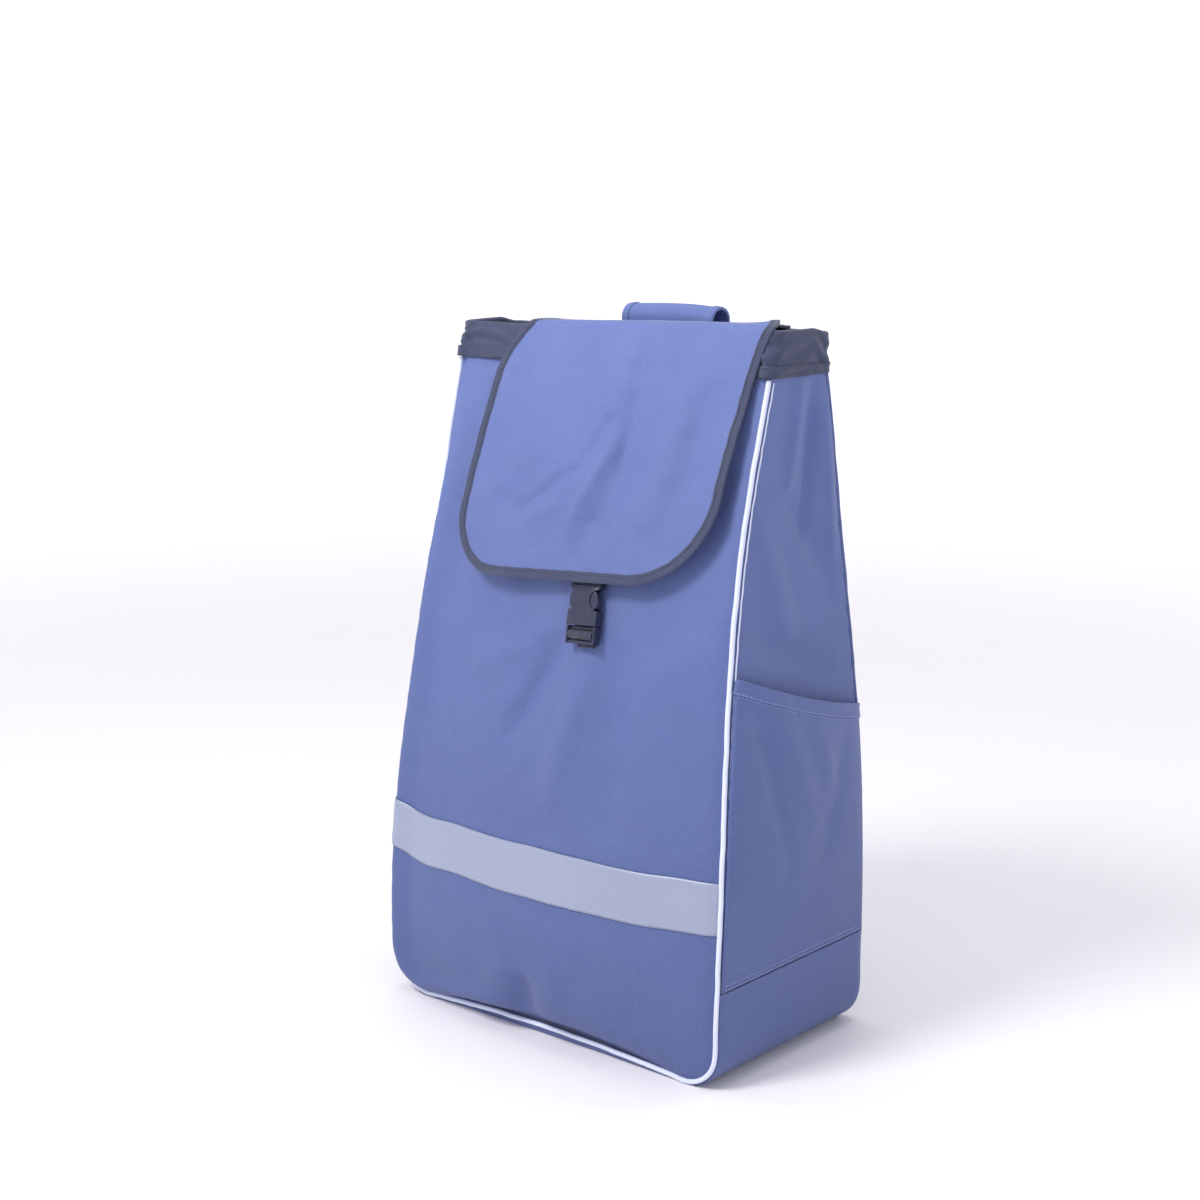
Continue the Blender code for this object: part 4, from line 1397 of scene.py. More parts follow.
@dataclass
class SidePocket:
    """The patch pocket on the right side: a cloth that stands off it, and a turned hem."""

    shop: Workshop
    shell: Shell
    foot: float = 0.079
    front_top: float = 0.316
    back_top: float = 0.268
    hem: float = 0.012
    ease: float = 0.012
    creases: tuple[Crease, ...] = (
        Crease((-0.062, 0.300), (-0.018, 0.150), 0.010, -0.0032),
        Crease((-0.040, 0.300), (0.012, 0.180), 0.012, 0.0025),
        Crease((0.060, 0.260), (0.020, 0.150), 0.012, -0.0022),
        Crease((-0.080, 0.120), (0.060, 0.105), 0.012, 0.0013),
        Crease((0.010, 0.275), (0.040, 0.200), 0.009, 0.0018),
    )

    def top(self, across: Array) -> Array:
        """Height of the mouth: a straight line that drops towards the back, sagging a little."""
        sag = 0.0035 * np.sin(math.pi * clamp(across))
        return self.front_top + (self.back_top - self.front_top) * across - sag

    def surface(self, y: Array, z: Array) -> Array:
        """The pocket's outer face.

        It stands off the side by a sine from seam to seam, to the power 0.6, times a quarter
        sine from its foot to its mouth, with folds on top.

        Args:
            y: Position from front to back.
            z: Height.

        Returns:
            Points of the surface.
        """
        s = self.shell
        near, far = s.front_y(z) + s.tuck, s.back_y(z) - s.tuck
        across = clamp((y - near) / (far - near))
        up = clamp((z - self.foot) / (self.top(across) - self.foot))
        stand = np.maximum(np.sin(math.pi * across), 0) ** 0.6
        ease = self.ease * stand * np.sin(0.5 * math.pi * up)
        soft = 0.0011 * crumple(y, z, 0.10, 71) + creased(self.creases, y, z)
        sides = smooth(across * 12) * smooth((1 - across) * 12) * smooth(up * 8)
        return stack(s.half_width(z) + 0.0014 + ease + soft * sides, y, z)

    def build(self) -> None:
        """The pocket's cloth, its hem and its stitches."""
        s = self.shell
        share = np.linspace(0.0, 1.0, 71)
        rise = np.linspace(0, 1, 76)[:, None]
        top = self.top(share) - 0.002
        z = self.foot + (top - self.foot) * rise
        y = s.front_y(z) + s.tuck + (s.back_y(z) - s.front_y(z) - 2 * s.tuck) * share
        cloth = Patchwork().grid(self.surface(y, z), np.stack([y, z], -1)).build("pocket_cloth", False)
        thicken(cloth, s.lining)
        self.shop.sew(cloth, "blue_twill", Slot.BAG_CLOTH, ["pocket_panel"])

        z = self.top(share) - 0.5 * self.hem
        y = s.front_y(z) + s.tuck + (s.back_y(z) - s.front_y(z) - 2 * s.tuck) * share
        line = resample(np.stack([y, z], -1), 0.002)
        rings = laid_strip(self.surface, line, self.hem, 0.0026, -0.0004, 0.35, count=20,
                           wrinkle=0.0003, seed=72)
        hem = self.shop.sew(Patchwork().rings(rings).build("pocket_hem_fold"), "blue_twill",
                              Slot.BAG_CLOTH, ["pocket_hem"])

        work = Patchwork()
        low = line - np.array([0, 0.5 * self.hem + 0.0012])
        stitch_row(work, self.surface, low, 0.0001)
        stitch_row(work, self.surface, low + np.array([0, 0.0026]), 0.0011)
        y = np.linspace(float(s.front_y(np.array(0.08))) + 0.006,
                        float(s.back_y(np.array(0.08))) - 0.006, 60)
        for z in (self.foot + 0.0018, self.foot + 0.0050):
            stitch_row(work, self.surface, np.stack([y, np.full(60, z)], -1), 0.0002)
        stitch_row(work, s.left, np.stack([-y, np.full(60, s.base_rise + 0.0025)], -1), 0.0002)
        thread = self.shop.sew(work.build("pocket_stitches"), "blue_thread", None)


@dataclass
class BarSleeve:
    """The loop of cloth behind the mouth that takes the trolley's crossbar."""

    shop: Workshop
    shell: Shell
    middle: float = -0.001
    half: float = 0.0465
    radius: float = 0.0115
    top: float = 0.580
    foot: float = 0.506

    def surface(self, x: Array, t: Array) -> Array:
        """The sleeve's outer face as a function of x and of the way along its path.

        The path goes up the band, over a half circle and down to the back panel. Its crown is
        lower at both ends than in the middle, and the cloth is softly uneven.

        Args:
            x: Position across.
            t: Distance along the path.

        Returns:
            Points of the surface.
        """
        path = self.path()
        run = np.concatenate([[0], np.cumsum(np.linalg.norm(np.diff(path, axis=0), axis=1))])
        y, z = np.interp(t, run, path[:, 0]), np.interp(t, run, path[:, 1])
        end = ((x - self.middle) / self.half) ** 2
        crown = smooth((z - 0.555) / 0.03)
        z = z - 0.0022 * end * crown + 0.0007 * crumple(x, t, 0.05, 81) * crown - 0.0004 * crown
        return stack(x, y + 0.0008 * crumple(x, t, 0.04, 82) * crown, z)

    def path(self) -> Array:
        """Points (y, z) of the loop's outer face, front leg first."""
        s = self.shell
        front = float(s.back_y(np.array(s.height))) + s.lining + 3 * s.gap + 0.0002
        top = self.top - self.radius
        centre = front + self.radius
        angle = np.linspace(math.pi, 0, 24)
        arch = np.stack([centre + self.radius * np.cos(angle), top + self.radius * np.sin(angle)], -1)
        end = np.linspace(0.530, self.foot, 8)
        foot = np.stack([s.back_y(end) + s.cloth + 3 * s.gap + 0.0012, end], -1)
        leg = np.array([[front, s.band_foot + 0.006], [front, 0.5 * (s.band_foot + top)]])
        bend = np.array([[centre + self.radius - 0.0006, top - 0.009],
                         [centre + self.radius - 0.0045, top - 0.022]])
        points = np.concatenate([leg, arch, bend, foot])
        return resample(points, 0.0022)

    def build(self) -> None:
        """The sleeve, with a turned edge at both ends and its stitches."""
        path = self.path()
        length = float(np.linalg.norm(np.diff(path, axis=0), axis=1).sum())
        x = self.middle + self.half * np.linspace(-1, 1, 45)
        t = np.linspace(0, length, 90)[:, None]
        x, t = np.broadcast_arrays(x, t)
        sleeve = Patchwork().grid(self.surface(x, t), np.stack([x, t], -1)).build("bar_sleeve_cloth", False)
        thicken(sleeve, 0.0014)
        self.shop.sew(sleeve, "blue_twill", Slot.BAG_CLOTH, ["bar_sleeve"])
        work, thread = Patchwork(), Patchwork()
        t = np.linspace(0.002, length - 0.002, 60)
        for side in (-1, 1):
            edge = self.middle + side * (self.half - 0.0032)
            line = np.stack([np.full(60, edge), t], -1)
            work.rings(laid_strip(self.surface, line, 0.0065, 0.0015, 0.0002, 0.4))
            line = np.stack([np.full(60, edge - side * 0.0022), t], -1)
            stitch_row(thread, self.surface, line, 0.0010)
        x = self.middle + self.half * np.linspace(-0.96, 0.96, 40)
        for rise in (0.003, 0.007):
            stitch_row(thread, self.surface, np.stack([x, np.full(40, length - rise)], -1), 0.0002)
        hems = self.shop.dress(work.build("sleeve_hems"), "blue_twill", Slot.BAG_CLOTH)
        rows = self.shop.dress(thread.build("sleeve_stitches"), "blue_thread", None)
        for obj in (hems, rows):
            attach(obj, Body.BAG.value)


# Lid and flap


@dataclass
class Lid:
    """The lid and its flap: one cloth over the mouth and down the front, bound all round.

    Its surface takes x and t. t is the distance along the cloth from the middle of its fold,
    less than 0 down the flap and more than 0 over the mouth.
    """

    shop: Workshop
    shell: Shell
    middle: float = 0.0350  # the fold's middle
    drift: float = 0.0142  # how far the middle line moves left just below the fold
    half: float = 0.1282
    narrowing: float = 0.0065
    hem: float = 0.3742
    left_corner: float = 0.047
    right_corner: float = 0.072
    skew: float = 0.058  # the hem drops towards the left by this slope
    taper: float = 0.030  # the right edge comes in this much towards the hinge
    fold_radius: float = 0.0075
    top_z: float = 0.5722
    sink: float = 0.0045  # the lid drops this much from its fold to its hinge
    gap_top: float = 0.0030
    gap_hem: float = 0.0145
    hinge_y: float = 0.0410
    binding: float = 0.0080
    binding_thickness: float = 0.0024
    tab_x: float = 0.0315  # where the buckle's webbing comes out from under the hem
    curl_x: float = 0.152  # where the lid's right end lifts
    creases: tuple[Crease, ...] = (
        Crease((0.052, 0.004), (0.050, -0.120), 0.015, -0.0052),
        Crease((0.058, -0.070), (0.020, -0.185), 0.012, -0.0040),
        Crease((0.020, -0.004), (0.024, -0.150), 0.018, 0.0044),
        Crease((0.092, -0.004), (0.086, -0.150), 0.018, 0.0042),
        Crease((0.028, -0.070), (-0.004, -0.125), 0.005, -0.0026),
        Crease((0.036, -0.088), (0.000, -0.165), 0.006, 0.0028),
        Crease((0.000, -0.112), (-0.060, -0.158), 0.006, -0.0028),
        Crease((-0.010, -0.140), (-0.072, -0.172), 0.007, 0.0024),
        Crease((0.030, -0.140), (0.016, -0.184), 0.007, -0.0020),
        Crease((0.050, -0.146), (0.044, -0.188), 0.007, 0.0018),
        Crease((-0.050, -0.006), (-0.066, -0.140), 0.022, 0.0036),
        Crease((-0.086, -0.040), (-0.074, -0.180), 0.014, -0.0030),
        Crease((0.118, -0.040), (0.088, -0.180), 0.014, -0.0032),
    )

    @property
    def quarter(self) -> float:
        """Half the length of the fold's quarter circle."""
        return 0.25 * math.pi * self.fold_radius

    def fold_y(self) -> float:
        """Where the flap's outer face starts, just below the fold."""
        s = self.shell
        return float(s.front_y(np.array(self.top_z - self.fold_radius))) - self.gap_top - s.cloth

    def surface(self, x: Array, t: Array) -> Array:
        """The cloth's outer face.

        Over the mouth it is level with a soft crown, the fold is a quarter circle, and down
        the front it keeps a growing distance from the front panel, with folds along it.

        Args:
            x: Position across.
            t: Distance up the cloth from the fold's middle.

        Returns:
            Points of the surface.
        """
        s, r, q = self.shell, self.fold_radius, self.quarter
        x, t = np.broadcast_arrays(x, t)
        edge = self.fold_y()
        angle = np.clip((t + q) / r, 0, 0.5 * math.pi)
        down, over = np.minimum(t + q, 0), np.maximum(t - q, 0)
        z = self.top_z - r + down + r * np.sin(angle)
        gap = s.flap_gap(z, self.gap_top, self.gap_hem, 0.371) - self.gap_top
        front = s.panel_y(x, np.minimum(z, self.top_z - r)) - s.front_y(
            np.array(self.top_z - r)) - gap
        y = edge + r * (1 - np.cos(angle)) + over + np.where(down < 0, front, 0.0)
        fall = smooth(-t / 0.05)
        soft = (0.0026 * crumple(x, t, 0.12, 91) + 0.0008 * crumple(x, t, 0.035, 90)) * fall
        hem = 0.0012 * ripple(x, 0.11, 92) * smooth(-(t + 0.13) / 0.06)
        out = soft + hem + creased(self.creases, x, t) * (0.35 + 0.65 * smooth(-t / 0.03))
        tab = np.exp(
            -(((x - self.tab_x) / 0.022) ** 2) - ((t - self.hem_t() - 0.016) / 0.026) ** 2)
        room = 0.0008 - gap * (1 - 0.92 * tab) * 0.8  # how far the folds may reach inwards
        out = at_least(out, -0.0006 + np.minimum(room, 0.0))
        roof = smooth(t / 0.012)
        right = np.exp(-(((x - self.curl_x) / 0.026) ** 2)) * np.sin(math.pi * clamp(over / 0.050))
        z = z + roof * 0.0005 * crumple(x, t, 0.07, 93) + 0.0044 * right
        z = z - self.sink * smooth(over / 0.060) ** 1.3 - s.slump(x) * smooth((t + 0.06) / 0.06)
        return stack(x, y - out * (1 - roof), z)

    def centre(self, t: Array) -> Array:
        """Middle of the cloth's width, which moves left from the fold down the flap."""
        bend = 1 - (1 - clamp(-t / 0.045)) ** 2
        return self.middle - self.drift * bend - 0.5 * self.drift * clamp((-t - 0.03) / 0.09)

    def reach(self, t: Array) -> Array:
        """Half the cloth's width, which is a little less at the fold than on the flap."""
        return self.half - self.narrowing * (1 - clamp(-t / 0.045)) ** 2

    def slant(self, x: Array, t: Array) -> Array:
        """How much higher the cloth's points lie on the right, growing from nothing to the hem."""
        return self.skew * (x - 0.0235) * smooth((-t - 0.06) / 0.12)

    def hem_t(self) -> float:
        """Distance along the cloth to the hem."""
        return self.hem - (self.top_z - self.fold_radius) - self.quarter

    def outline(self, inset: float) -> Array:
        """Points (x, t) round the cloth's free edge, from the left hinge end to the right one.

        Two straight sides, a corner of its own radius on each side, and a slanting hem.

        Args:
            inset: Distance inside the edge.

        Returns:
            The points, one a row.
        """
        foot, back = self.hem_t(), self.hinge_y - self.fold_y() - self.fold_radius + self.quarter
        turn = np.linspace(0, 0.5 * math.pi, 40)
        parts = []
        for side, radius in ((-1, self.left_corner), (1, self.right_corner)):
            t = np.linspace(foot + radius, back, 110)
            come_in = self.taper * smooth(t / 0.055) if side > 0 else 0.0
            x = self.centre(t) + side * (self.reach(t) - inset - come_in)
            r = radius - inset
            cx = self.centre(np.array(foot + radius)) + side * (self.half - radius)
            arc = np.stack([cx + side * r * np.sin(turn), foot + radius - r * np.cos(turn)], -1)
            parts.append(np.concatenate([arc[:-1], np.stack([x, t], -1)]))
        left, right = parts[0][::-1], parts[1]
        run = np.linspace(left[-1], right[0], 60)[1:-1]
        line = np.concatenate([left, run, right])
        slant = self.slant(line[:, 0], line[:, 1])
        return np.stack([line[:, 0], line[:, 1] + slant], -1)

    def build(self) -> None:
        """The cloth, its binding and stitches, and the tape that hinges it to the bag."""
        self.cloth()
        self.edge()
        self.hinge()

    def blend(self, obj: bpy.types.Object) -> None:
        """Bake a piece's placement into its mesh."""
        middle = Vector((self.middle, self.fold_y() + 0.0022, self.top_z - 0.0022))
        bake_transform(obj)

    def cloth(self) -> None:
        """The cloth itself, on rows that end at its rounded outline, inside the binding."""
        line = self.outline(0.5 * self.binding)
        low = int(np.argmin(np.abs(line[:, 0] - self.middle)))
        left, right = line[:low + 1][::-1], line[low:]
        foot, back = self.hem_t() + 0.5 * self.binding, line[0, 1]
        share = np.linspace(0, 1, 190)
        t = foot + (back - foot) * np.where(share < 0.25, 1.6 * share**2, share + 0.1 * (share - 1) / 0.75)
        t = np.unique(np.clip(t, foot, back))
        run_left = np.interp(t, self.rising(left)[:, 1], self.rising(left)[:, 0])
        run_right = np.interp(t, self.rising(right)[:, 1], self.rising(right)[:, 0])
        x = run_left[:, None] + (run_right - run_left)[:, None] * np.linspace(0, 1, 121)
        t = np.broadcast_to(t[:, None], x.shape)
        t = t + self.slant(x, t)
        obj = Patchwork().grid(self.surface(x, t), np.stack([x, t], -1)).build("lid_cloth", False)
        thicken(obj, self.shell.cloth)
        self.shop.dress(obj, "blue_twill", Slot.BAG_CLOTH, ["lid_top_panel", "flap_panel"])
        self.blend(obj)

    def rising(self, line: Array) -> Array:
        """A side of the outline without its slant, as points whose t never falls."""
        slant = self.slant(line[:, 0], line[:, 1])
        plain = np.stack([line[:, 0], np.maximum.accumulate(line[:, 1] - slant)], -1)
        return plain

    def edge(self) -> None:
        """The binding round the free edge, with a row of stitches along its inner side."""
        line = resample(self.outline(0.5 * self.binding), 0.0024)
        rings = laid_strip(self.surface, line, self.binding, self.binding_thickness,
                           -0.5 * self.shell.cloth, 0.42, count=20, wrinkle=0.00035, seed=94)
        binding = self.shop.dress(
            Patchwork().rings(rings).build("lid_edge_binding"), "grey_binding", Slot.TRIM_CLOTH,
            ["lid_binding_left", "lid_binding_right", "flap_binding"])
        self.blend(binding)
        work = Patchwork()
        stitch_row(work, self.surface, self.outline(self.binding - 0.0022), 0.0007)
        thread = self.shop.dress(work.build("lid_edge_stitches"), "grey_thread", None)
        self.blend(thread)

    def hinge(self) -> None:
        """The tape that joins the lid's rear edge to the back of the mouth band."""
        path = resample(np.array([
            [0.04250, 0.5480], [0.04240, 0.5600], [0.04230, 0.5655], [0.04180, 0.5674],
            [0.04050, 0.5684], [0.03800, 0.5686], [0.03100, 0.5692]]), 0.0006)
        half = float(self.reach(np.array(0.0))) - 0.004
        x = np.linspace(self.middle - half, self.middle + half - self.taper, 90)
        wave = 0.0002 * ripple(x, 0.04, 95)
        low = self.shell.slump(x) * smooth((path[:, 1:] - 0.548) / 0.018)
        points = stack(x, path[:, :1] + 0 * x, path[:, 1:] + wave - low)
        obj = Patchwork().grid(points[:, ::-1]).build("lid_hinge_tape", False)
        thicken(obj, 0.0007)
        self.shop.dress(obj, "grey_binding", Slot.TRIM_CLOTH)
        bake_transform(obj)


# The buckle


@dataclass
class Buckle:
    """The side-release buckle and its webbing, made in its own frame and then put in place.

    Its own frame has X across, -Y away from the bag and Z along the buckle, with the socket's
    mouth at Z = 0 and the back of the buckle at Y = 0.
    """

    shop: Workshop
    shell: Shell
    x: float = 0.0295
    z: float = 0.3400
    standoff: float = 0.0032
    half: float = 0.0145
    depth: float = 0.0090
    length: float = 0.0315
    window_radius: float = 0.0088
    window_x: float = 0.0152
    window_z: float = 0.020
    wall: float = 0.0017
    bar: tuple[float, float] = (-0.0045, 0.0362)
    bar_radius: float = 0.0016
    plug_bar: tuple[float, float] = (-0.0050, -0.0074)
    plug_bar_radius: float = 0.0021
    roll: float = -0.055
    webbing_half: float = 0.0102
    webbing: float = 0.0009

    def place(self) -> Matrix:
        """The matrix of the buckle's frame: it leans with the front panel and hangs plumb."""
        low = float(self.shell.panel_y(np.array(self.x), np.array(self.z)))
        high = float(self.shell.panel_y(np.array(self.x), np.array(self.z + self.length)))
        tilt = -math.atan2(high - low, self.length)
        spot = Matrix.Translation((self.x, low - self.standoff, self.z))
        spot = spot @ Matrix.Rotation(tilt, 4, "X") @ Matrix.Translation((0, 0, self.bar[1]))
        return spot @ Matrix.Rotation(self.roll, 4, "Y") @ Matrix.Translation((0, 0, -self.bar[1]))

    def build(self) -> None:
        """The socket, the plug, the prongs and the webbing."""
        self.socket()
        self.plug()
        for side, body in ((-1, Body.PRONG_LEFT), (1, Body.PRONG_RIGHT)):
            self.prong(side, body)
        self.straps()

    def half_at(self, z: Array) -> Array:
        """Half the width of the socket's faces, scooped out beside the round windows."""
        scoop = np.sqrt(np.maximum(self.window_radius**2 - (z - self.window_z) ** 2, 0))
        open_here = np.abs(z - self.window_z) < self.window_radius
        return np.where(open_here, np.minimum(self.half, self.window_x - scoop), self.half)

    def socket(self) -> None:
        """The socket: a crowned front face, a flat back, side walls, and a head with a bar."""
        rise = np.linspace(0, 1, 61)
        z = ((self.length + 0.0018) * (0.5 - 0.5 * np.cos(math.pi * rise)))[:, None]
        z = np.sort(np.concatenate([z, [[0.0113], [0.0287]]]), axis=0)
        share = np.linspace(-1, 1, 41)
        x = self.half_at(z) * share
        v = z / self.length
        profile = 0.95 + 0.05 * smooth(v / 0.14) - 0.25 * smooth((v - 0.70) / 0.34) ** 1.6
        crown = 0.0012 * (np.abs(x) / self.half) ** 4
        panel = 0.00035 * smooth((0.55 - np.abs(x) / self.half) / 0.05) * smooth(
            (v - 0.16) / 0.03) * smooth((0.80 - v) / 0.03)
        front = stack(x, -self.depth * profile + crown + panel, z)
        faces = Patchwork().grid(front)
        faces.grid(stack(x, 0 * x - 0.0001, z)[:, ::-1])
        plates = faces.moved(self.place()).build("socket_faces", False)
        thicken(plates, self.wall)
        rounded_edges(plates, 0.0004)
        walls = Patchwork()
        for side in (-1, 1):
            path = np.stack([np.full(9, side * (self.half - 0.0010)), np.full(9, -0.0043),
                             np.linspace(0.0002, 0.0116, 9)], -1)
            walls.rings(swept(path, (0, 1, 0), 0.0080, 0.0019, 0.35, 20))
            path[:, 2] = np.linspace(0.0284, 0.0312, 9)
            walls.rings(swept(path, (0, 1, 0), 0.0068, 0.0019, 0.35, 20))
            path = np.stack([np.full(14, side * 0.0118), np.full(14, self.bar[0]),
                             np.linspace(0.0300, 0.0384, 14)], -1)
            walls.rings(swept(path, (0, 1, 0), 0.0034, 0.0025, 0.45, 20))
        path = np.stack([np.linspace(-self.half + 0.001, self.half - 0.001, 25), np.full(25, -0.0040),
                         np.full(25, 0.0304)], -1)
        walls.rings(swept(path, (0, 1, 0), 0.0066, 0.0018, 0.4, 20))
        path = np.stack([np.linspace(-0.0126, 0.0126, 25), np.full(25, self.bar[0]),
                         np.full(25, self.bar[1])], -1)
        walls.rings(swept(path, (0, 1, 0), 2 * self.bar_radius, 2 * self.bar_radius, 1.0, 16))
        frame = walls.moved(self.place()).build("socket_walls")
        self.shop.dress(plates, "grey_plastic", Slot.BUCKLE, ["buckle_socket"])
        self.shop.dress(frame, "grey_plastic", Slot.BUCKLE)
        for obj in (plates, frame):
            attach(obj, Body.SOCKET.value)

    def plug(self) -> None:
        """The plug: two cheeks, a ribbed bar between them, a foot, and a shoulder for its prongs."""
        work = Patchwork()
        for side in (-1, 1):
            path = np.stack([np.full(21, side * 0.0134), np.full(21, -0.0039),
                             np.linspace(-0.0144, -0.0006, 21)], -1)
            work.rings(swept(path, (0, 1, 0), 0.0076, 0.0020, 0.38, 24))
        across = np.linspace(-0.0140, 0.0140, 29)
        for y, z, deep, tall in (
                (-0.0033, -0.0132, 0.0064, 0.0027), (-0.0026, -0.0021, 0.0046, 0.0028)):
            path = np.stack([across, np.full(29, y), np.full(29, z)], -1)
            work.rings(swept(path, (0, 1, 0), deep, tall, 0.38, 24))
        along = np.linspace(-0.0128, 0.0128, 73)
        path = np.stack([along, np.full(73, self.plug_bar[0]), np.full(73, self.plug_bar[1])], -1)
        bar = swept(path, (0, 1, 0), 2 * self.plug_bar_radius, 2 * self.plug_bar_radius, 1.0, 18)
        ribs = 1 + 0.05 * np.sin(2 * math.pi * along / 0.0019)
        bar = path[:, None] + (bar - path[:, None]) * ribs[:, None, None]
        work.rings(bar)
        obj = work.moved(self.place()).build("plug_frame")
        self.shop.dress(obj, "grey_plastic", Slot.BUCKLE, ["buckle_plug"])
        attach(obj, Body.PLUG.value)

    def prong(self, side: int, body: Body) -> None:
        """A springy prong whose rounded lobe fills the socket's window.

        Its outline is swept through its depth, drawn in by a quarter circle at both faces.

        Args:
            side: -1 for the left prong, 1 for the right one.
            body: The body that it rides on.
        """
        angle = np.linspace(-0.75, 1.75, 26)
        lobe = np.stack([0.0085 + 0.0057 * np.cos(angle), 0.0192 + 0.0078 * np.sin(angle)], -1)
        outline = np.concatenate([
            [[0.0054, 0.0004], [0.0091, 0.0004], [0.0093, 0.0098], [0.0108, 0.0126]], lobe,
            [[0.0068, 0.0258], [0.0062, 0.0120]]])
        outline = resample(np.concatenate([outline, outline[:1]]), 0.0007)[:-1]
        inward = unit(np.roll(outline, -1, 0) - np.roll(outline, 1, 0))
        inward = np.stack([-inward[:, 1], inward[:, 0]], -1)
        turn = np.linspace(0, 0.5 * math.pi, 5)
        edge = 0.0006
        inset = np.concatenate([edge * (1 - np.sin(turn)), edge * (1 - np.cos(turn))])
        depth = np.concatenate([-0.0021 - edge * (1 - np.cos(turn)),
                                -0.0079 + edge * (1 - np.sin(turn))])
        flat = outline + inward * inset[:, None, None]
        points = stack(side * flat[..., 0], depth[:, None] + 0 * flat[..., 0], flat[..., 1])
        obj = Patchwork().rings(points).moved(self.place()).build(body.value + "_arm")
        self.shop.dress(obj, "grey_plastic", Slot.BUCKLE, [body.value])
        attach(obj, body.value)

    def ribbon(self, path: Sequence[tuple[float, float]], pitch: float = 0.0008) -> Array:
        """Rings of webbing whose middle line goes through points (y, z) of the buckle's frame.

        Args:
            path: The points.
            pitch: Distance between rings.

        Returns:
            The rings.
        """
        line = np.asarray(path, float)
        for _ in range(2):  # rounds the corners by cutting each one off
            cut = np.stack([0.75 * line[:-1] + 0.25 * line[1:], 0.25 * line[:-1] + 0.75 * line[1:]], 1)
            line = np.concatenate([line[:1], cut.reshape(-1, 2), line[-1:]])
        line = resample(line, pitch)
        points = np.stack([np.zeros(len(line)), line[:, 0], line[:, 1]], -1)
        return swept(points, (1, 0, 0), 2 * self.webbing_half, self.webbing, 0.35, 24)

    def straps(self) -> None:
        """The webbing from the flap round the socket's bar, and from the bag round the plug's."""
        place = self.place()
        reach = self.bar_radius + 0.5 * self.webbing + 0.0002
        angle = np.linspace(0.80 * math.pi, 2.22 * math.pi, 18)
        around = [(self.bar[0] + reach * math.cos(a), self.bar[1] + reach * math.sin(a)) for a in angle]
        path = [(-0.0034, 0.0640), (-0.0062, 0.0520), (-0.0074, 0.0450), (-0.0066, 0.0408), *around,
                (-0.0040, 0.0410), (-0.0052, 0.0440)]
        obj = Patchwork().rings(self.ribbon(path)).moved(place).build("socket_webbing")
        self.shop.dress(obj, "grey_webbing", Slot.WEBBING, ["flap_tab", "socket_loop"])
        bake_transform(obj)

        reach = self.plug_bar_radius + 0.5 * self.webbing + 0.0006
        angle = np.linspace(1.60 * math.pi, 0.26 * math.pi, 18)
        cy, cz = self.plug_bar
        around = [(cy + reach * math.cos(a), cz + reach * math.sin(a)) for a in angle]
        path = [(0.0026, -0.0008), (0.0027, -0.0140), (0.0026, -0.0160), (0.0018, -0.0172),
                (0.0011, -0.0160), (0.0011, -0.0134), (-0.0002, -0.0118), *around]
        rings = self.ribbon(path)
        share = np.linspace(0, 1, len(rings))[:, None]
        rings[..., 0] *= 0.80 + 0.39 * smooth((share - 0.56) / 0.10)
        obj = Patchwork().rings(rings).moved(place).build("plug_webbing")
        self.shop.dress(obj, "grey_webbing", Slot.WEBBING, ["webbing_anchor", "plug_loop"])
        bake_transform(obj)


# Studio


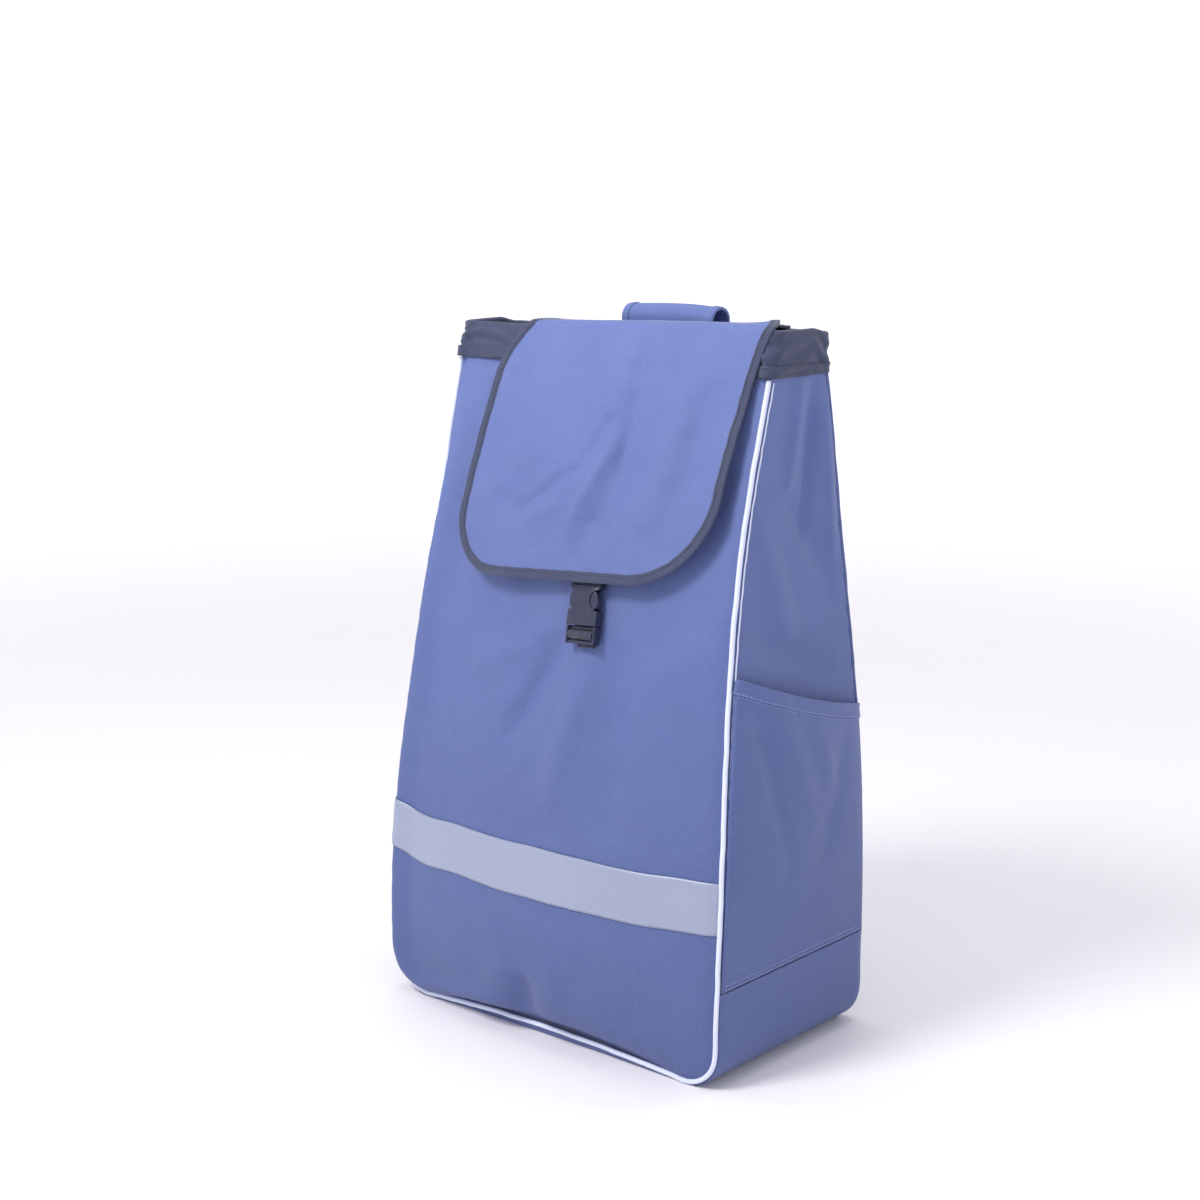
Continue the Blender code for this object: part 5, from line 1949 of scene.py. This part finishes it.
@dataclass
class Studio:
    """A plain pale floor that sweeps up to a wall, soft light and the camera."""

    azimuth: float = 40.4134
    elevation: float = 11.2205
    distance: float = 1.7596
    aim_side: float = -0.0235
    aim_z: float = 0.343
    lens: float = 65.034
    sensor: float = 36.0

    def build(self) -> None:
        """Build the floor, the lights, the world and the camera."""
        self.camera()
        self.floor()
        self.light()

    def camera(self) -> None:
        """The camera, on a sphere about a point beside the bag's middle."""
        a, e = math.radians(self.azimuth), math.radians(self.elevation)
        back = Vector((math.sin(a) * math.cos(e), -math.cos(a) * math.cos(e), math.sin(e)))
        right = Vector((math.cos(a), math.sin(a), 0))
        data = bpy.data.cameras.new("studio_camera")
        data.lens, data.sensor_width = self.lens, self.sensor
        data.clip_start, data.clip_end = 0.02, 60
        obj = bpy.data.objects.new("studio_camera", data)
        bpy.context.scene.collection.objects.link(obj)
        obj.location = Vector((0, 0, self.aim_z)) + right * self.aim_side + back * self.distance
        obj.rotation_mode = "QUATERNION"
        obj.rotation_quaternion = (-back).to_track_quat("-Z", "Y")
        bpy.context.scene.camera = obj

    def floor(self) -> None:
        """The floor: level near the bag, and a bowl that curves up far from it all round.

        The paper glows softly with distance, so that the far side is as white as the near one.
        """
        radius = np.concatenate([np.linspace(0.001, 3.0, 40), np.linspace(3.05, 7.0, 50)])[:, None]
        turn = np.linspace(0, 2 * math.pi, 97)
        rise = 4.0 * smooth((radius - 3.0) / 4.0)
        points = stack(radius * np.cos(turn), radius * np.sin(turn), rise - 0.0002)
        obj = Patchwork().grid(points[:, ::-1]).build("studio_floor", False)
        material = bpy.data.materials.new("studio_paper")
        material.use_nodes = True
        shader = material.node_tree.nodes["Principled BSDF"]
        shader.inputs["Base Color"].default_value = (0.95, 0.92, 0.945, 1)
        shader.inputs["Roughness"].default_value = 0.55
        shader.inputs["Specular IOR Level"].default_value = 0.25
        tree = material.node_tree
        place = tree.nodes.new("ShaderNodeTexCoord").outputs["Object"]
        length = tree.nodes.new("ShaderNodeVectorMath")
        length.operation = "LENGTH"
        tree.links.new(place, length.inputs[0])
        glow = tree.nodes.new("ShaderNodeMapRange")
        glow.interpolation_type = "SMOOTHSTEP"
        for name, value in (("From Min", 1.0), ("From Max", 3.2), ("To Min", 0.0), ("To Max", 1.0)):
            glow.inputs[name].default_value = value
        tree.links.new(length.outputs["Value"], glow.inputs["Value"])
        tree.links.new(glow.outputs["Result"], shader.inputs["Emission Color"])
        shader.inputs["Emission Strength"].default_value = 0.40
        obj.data.materials.append(material)

    def light(self) -> None:
        """A pale world, a large key from the front and two soft fills."""
        world = bpy.data.worlds.new("studio_world")
        bpy.context.scene.world = world
        world.use_nodes = True
        shade = world.node_tree.nodes["Background"]
        shade.inputs[0].default_value = (0.90, 0.935, 1.0, 1)
        shade.inputs[1].default_value = 0.39
        for name, spot, size, power, colour in (
                ("key", (-0.36, -1.40, 1.90), 0.7, 30.0, (1.0, 0.98, 0.965)),
                ("overhead", (0.0, 0.2, 2.6), 2.0, 23.0, (0.96, 0.98, 1.0)),
                ("rim", (1.2, 2.4, 2.2), 1.6, 10.0, (1.0, 0.98, 1.0))):
            data = bpy.data.lights.new(name, "AREA")
            data.shape, data.size, data.energy, data.color = "DISK", size, power, colour
            obj = bpy.data.objects.new(name, data)
            bpy.context.scene.collection.objects.link(obj)
            obj.location = spot
            aim = Vector((0, 0, 0.3)) - Vector(spot)
            obj.rotation_mode = "QUATERNION"
            obj.rotation_quaternion = aim.to_track_quat("-Z", "Y")
        view = bpy.context.scene.view_settings
        view.view_transform, view.look, view.exposure = "Standard", "None", 0.0


def main() -> None:
    """Build the bag round its frame."""
    logging.basicConfig(level=logging.INFO, format="%(name)s %(message)s")
    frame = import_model()
    shop, shell = Workshop(make_finishes(NodeBook()), frame["nodes"]), Shell()
    Studio().build()
    for assembly in (MouthBand(shop, shell), BagShell(shop, shell), SidePocket(shop, shell),
                     BarSleeve(shop, shell), Lid(shop, shell), Buckle(shop, shell)):
        assembly.build()
        LOG.info("%s built", type(assembly).__name__)


if __name__ == "__main__":
    main()
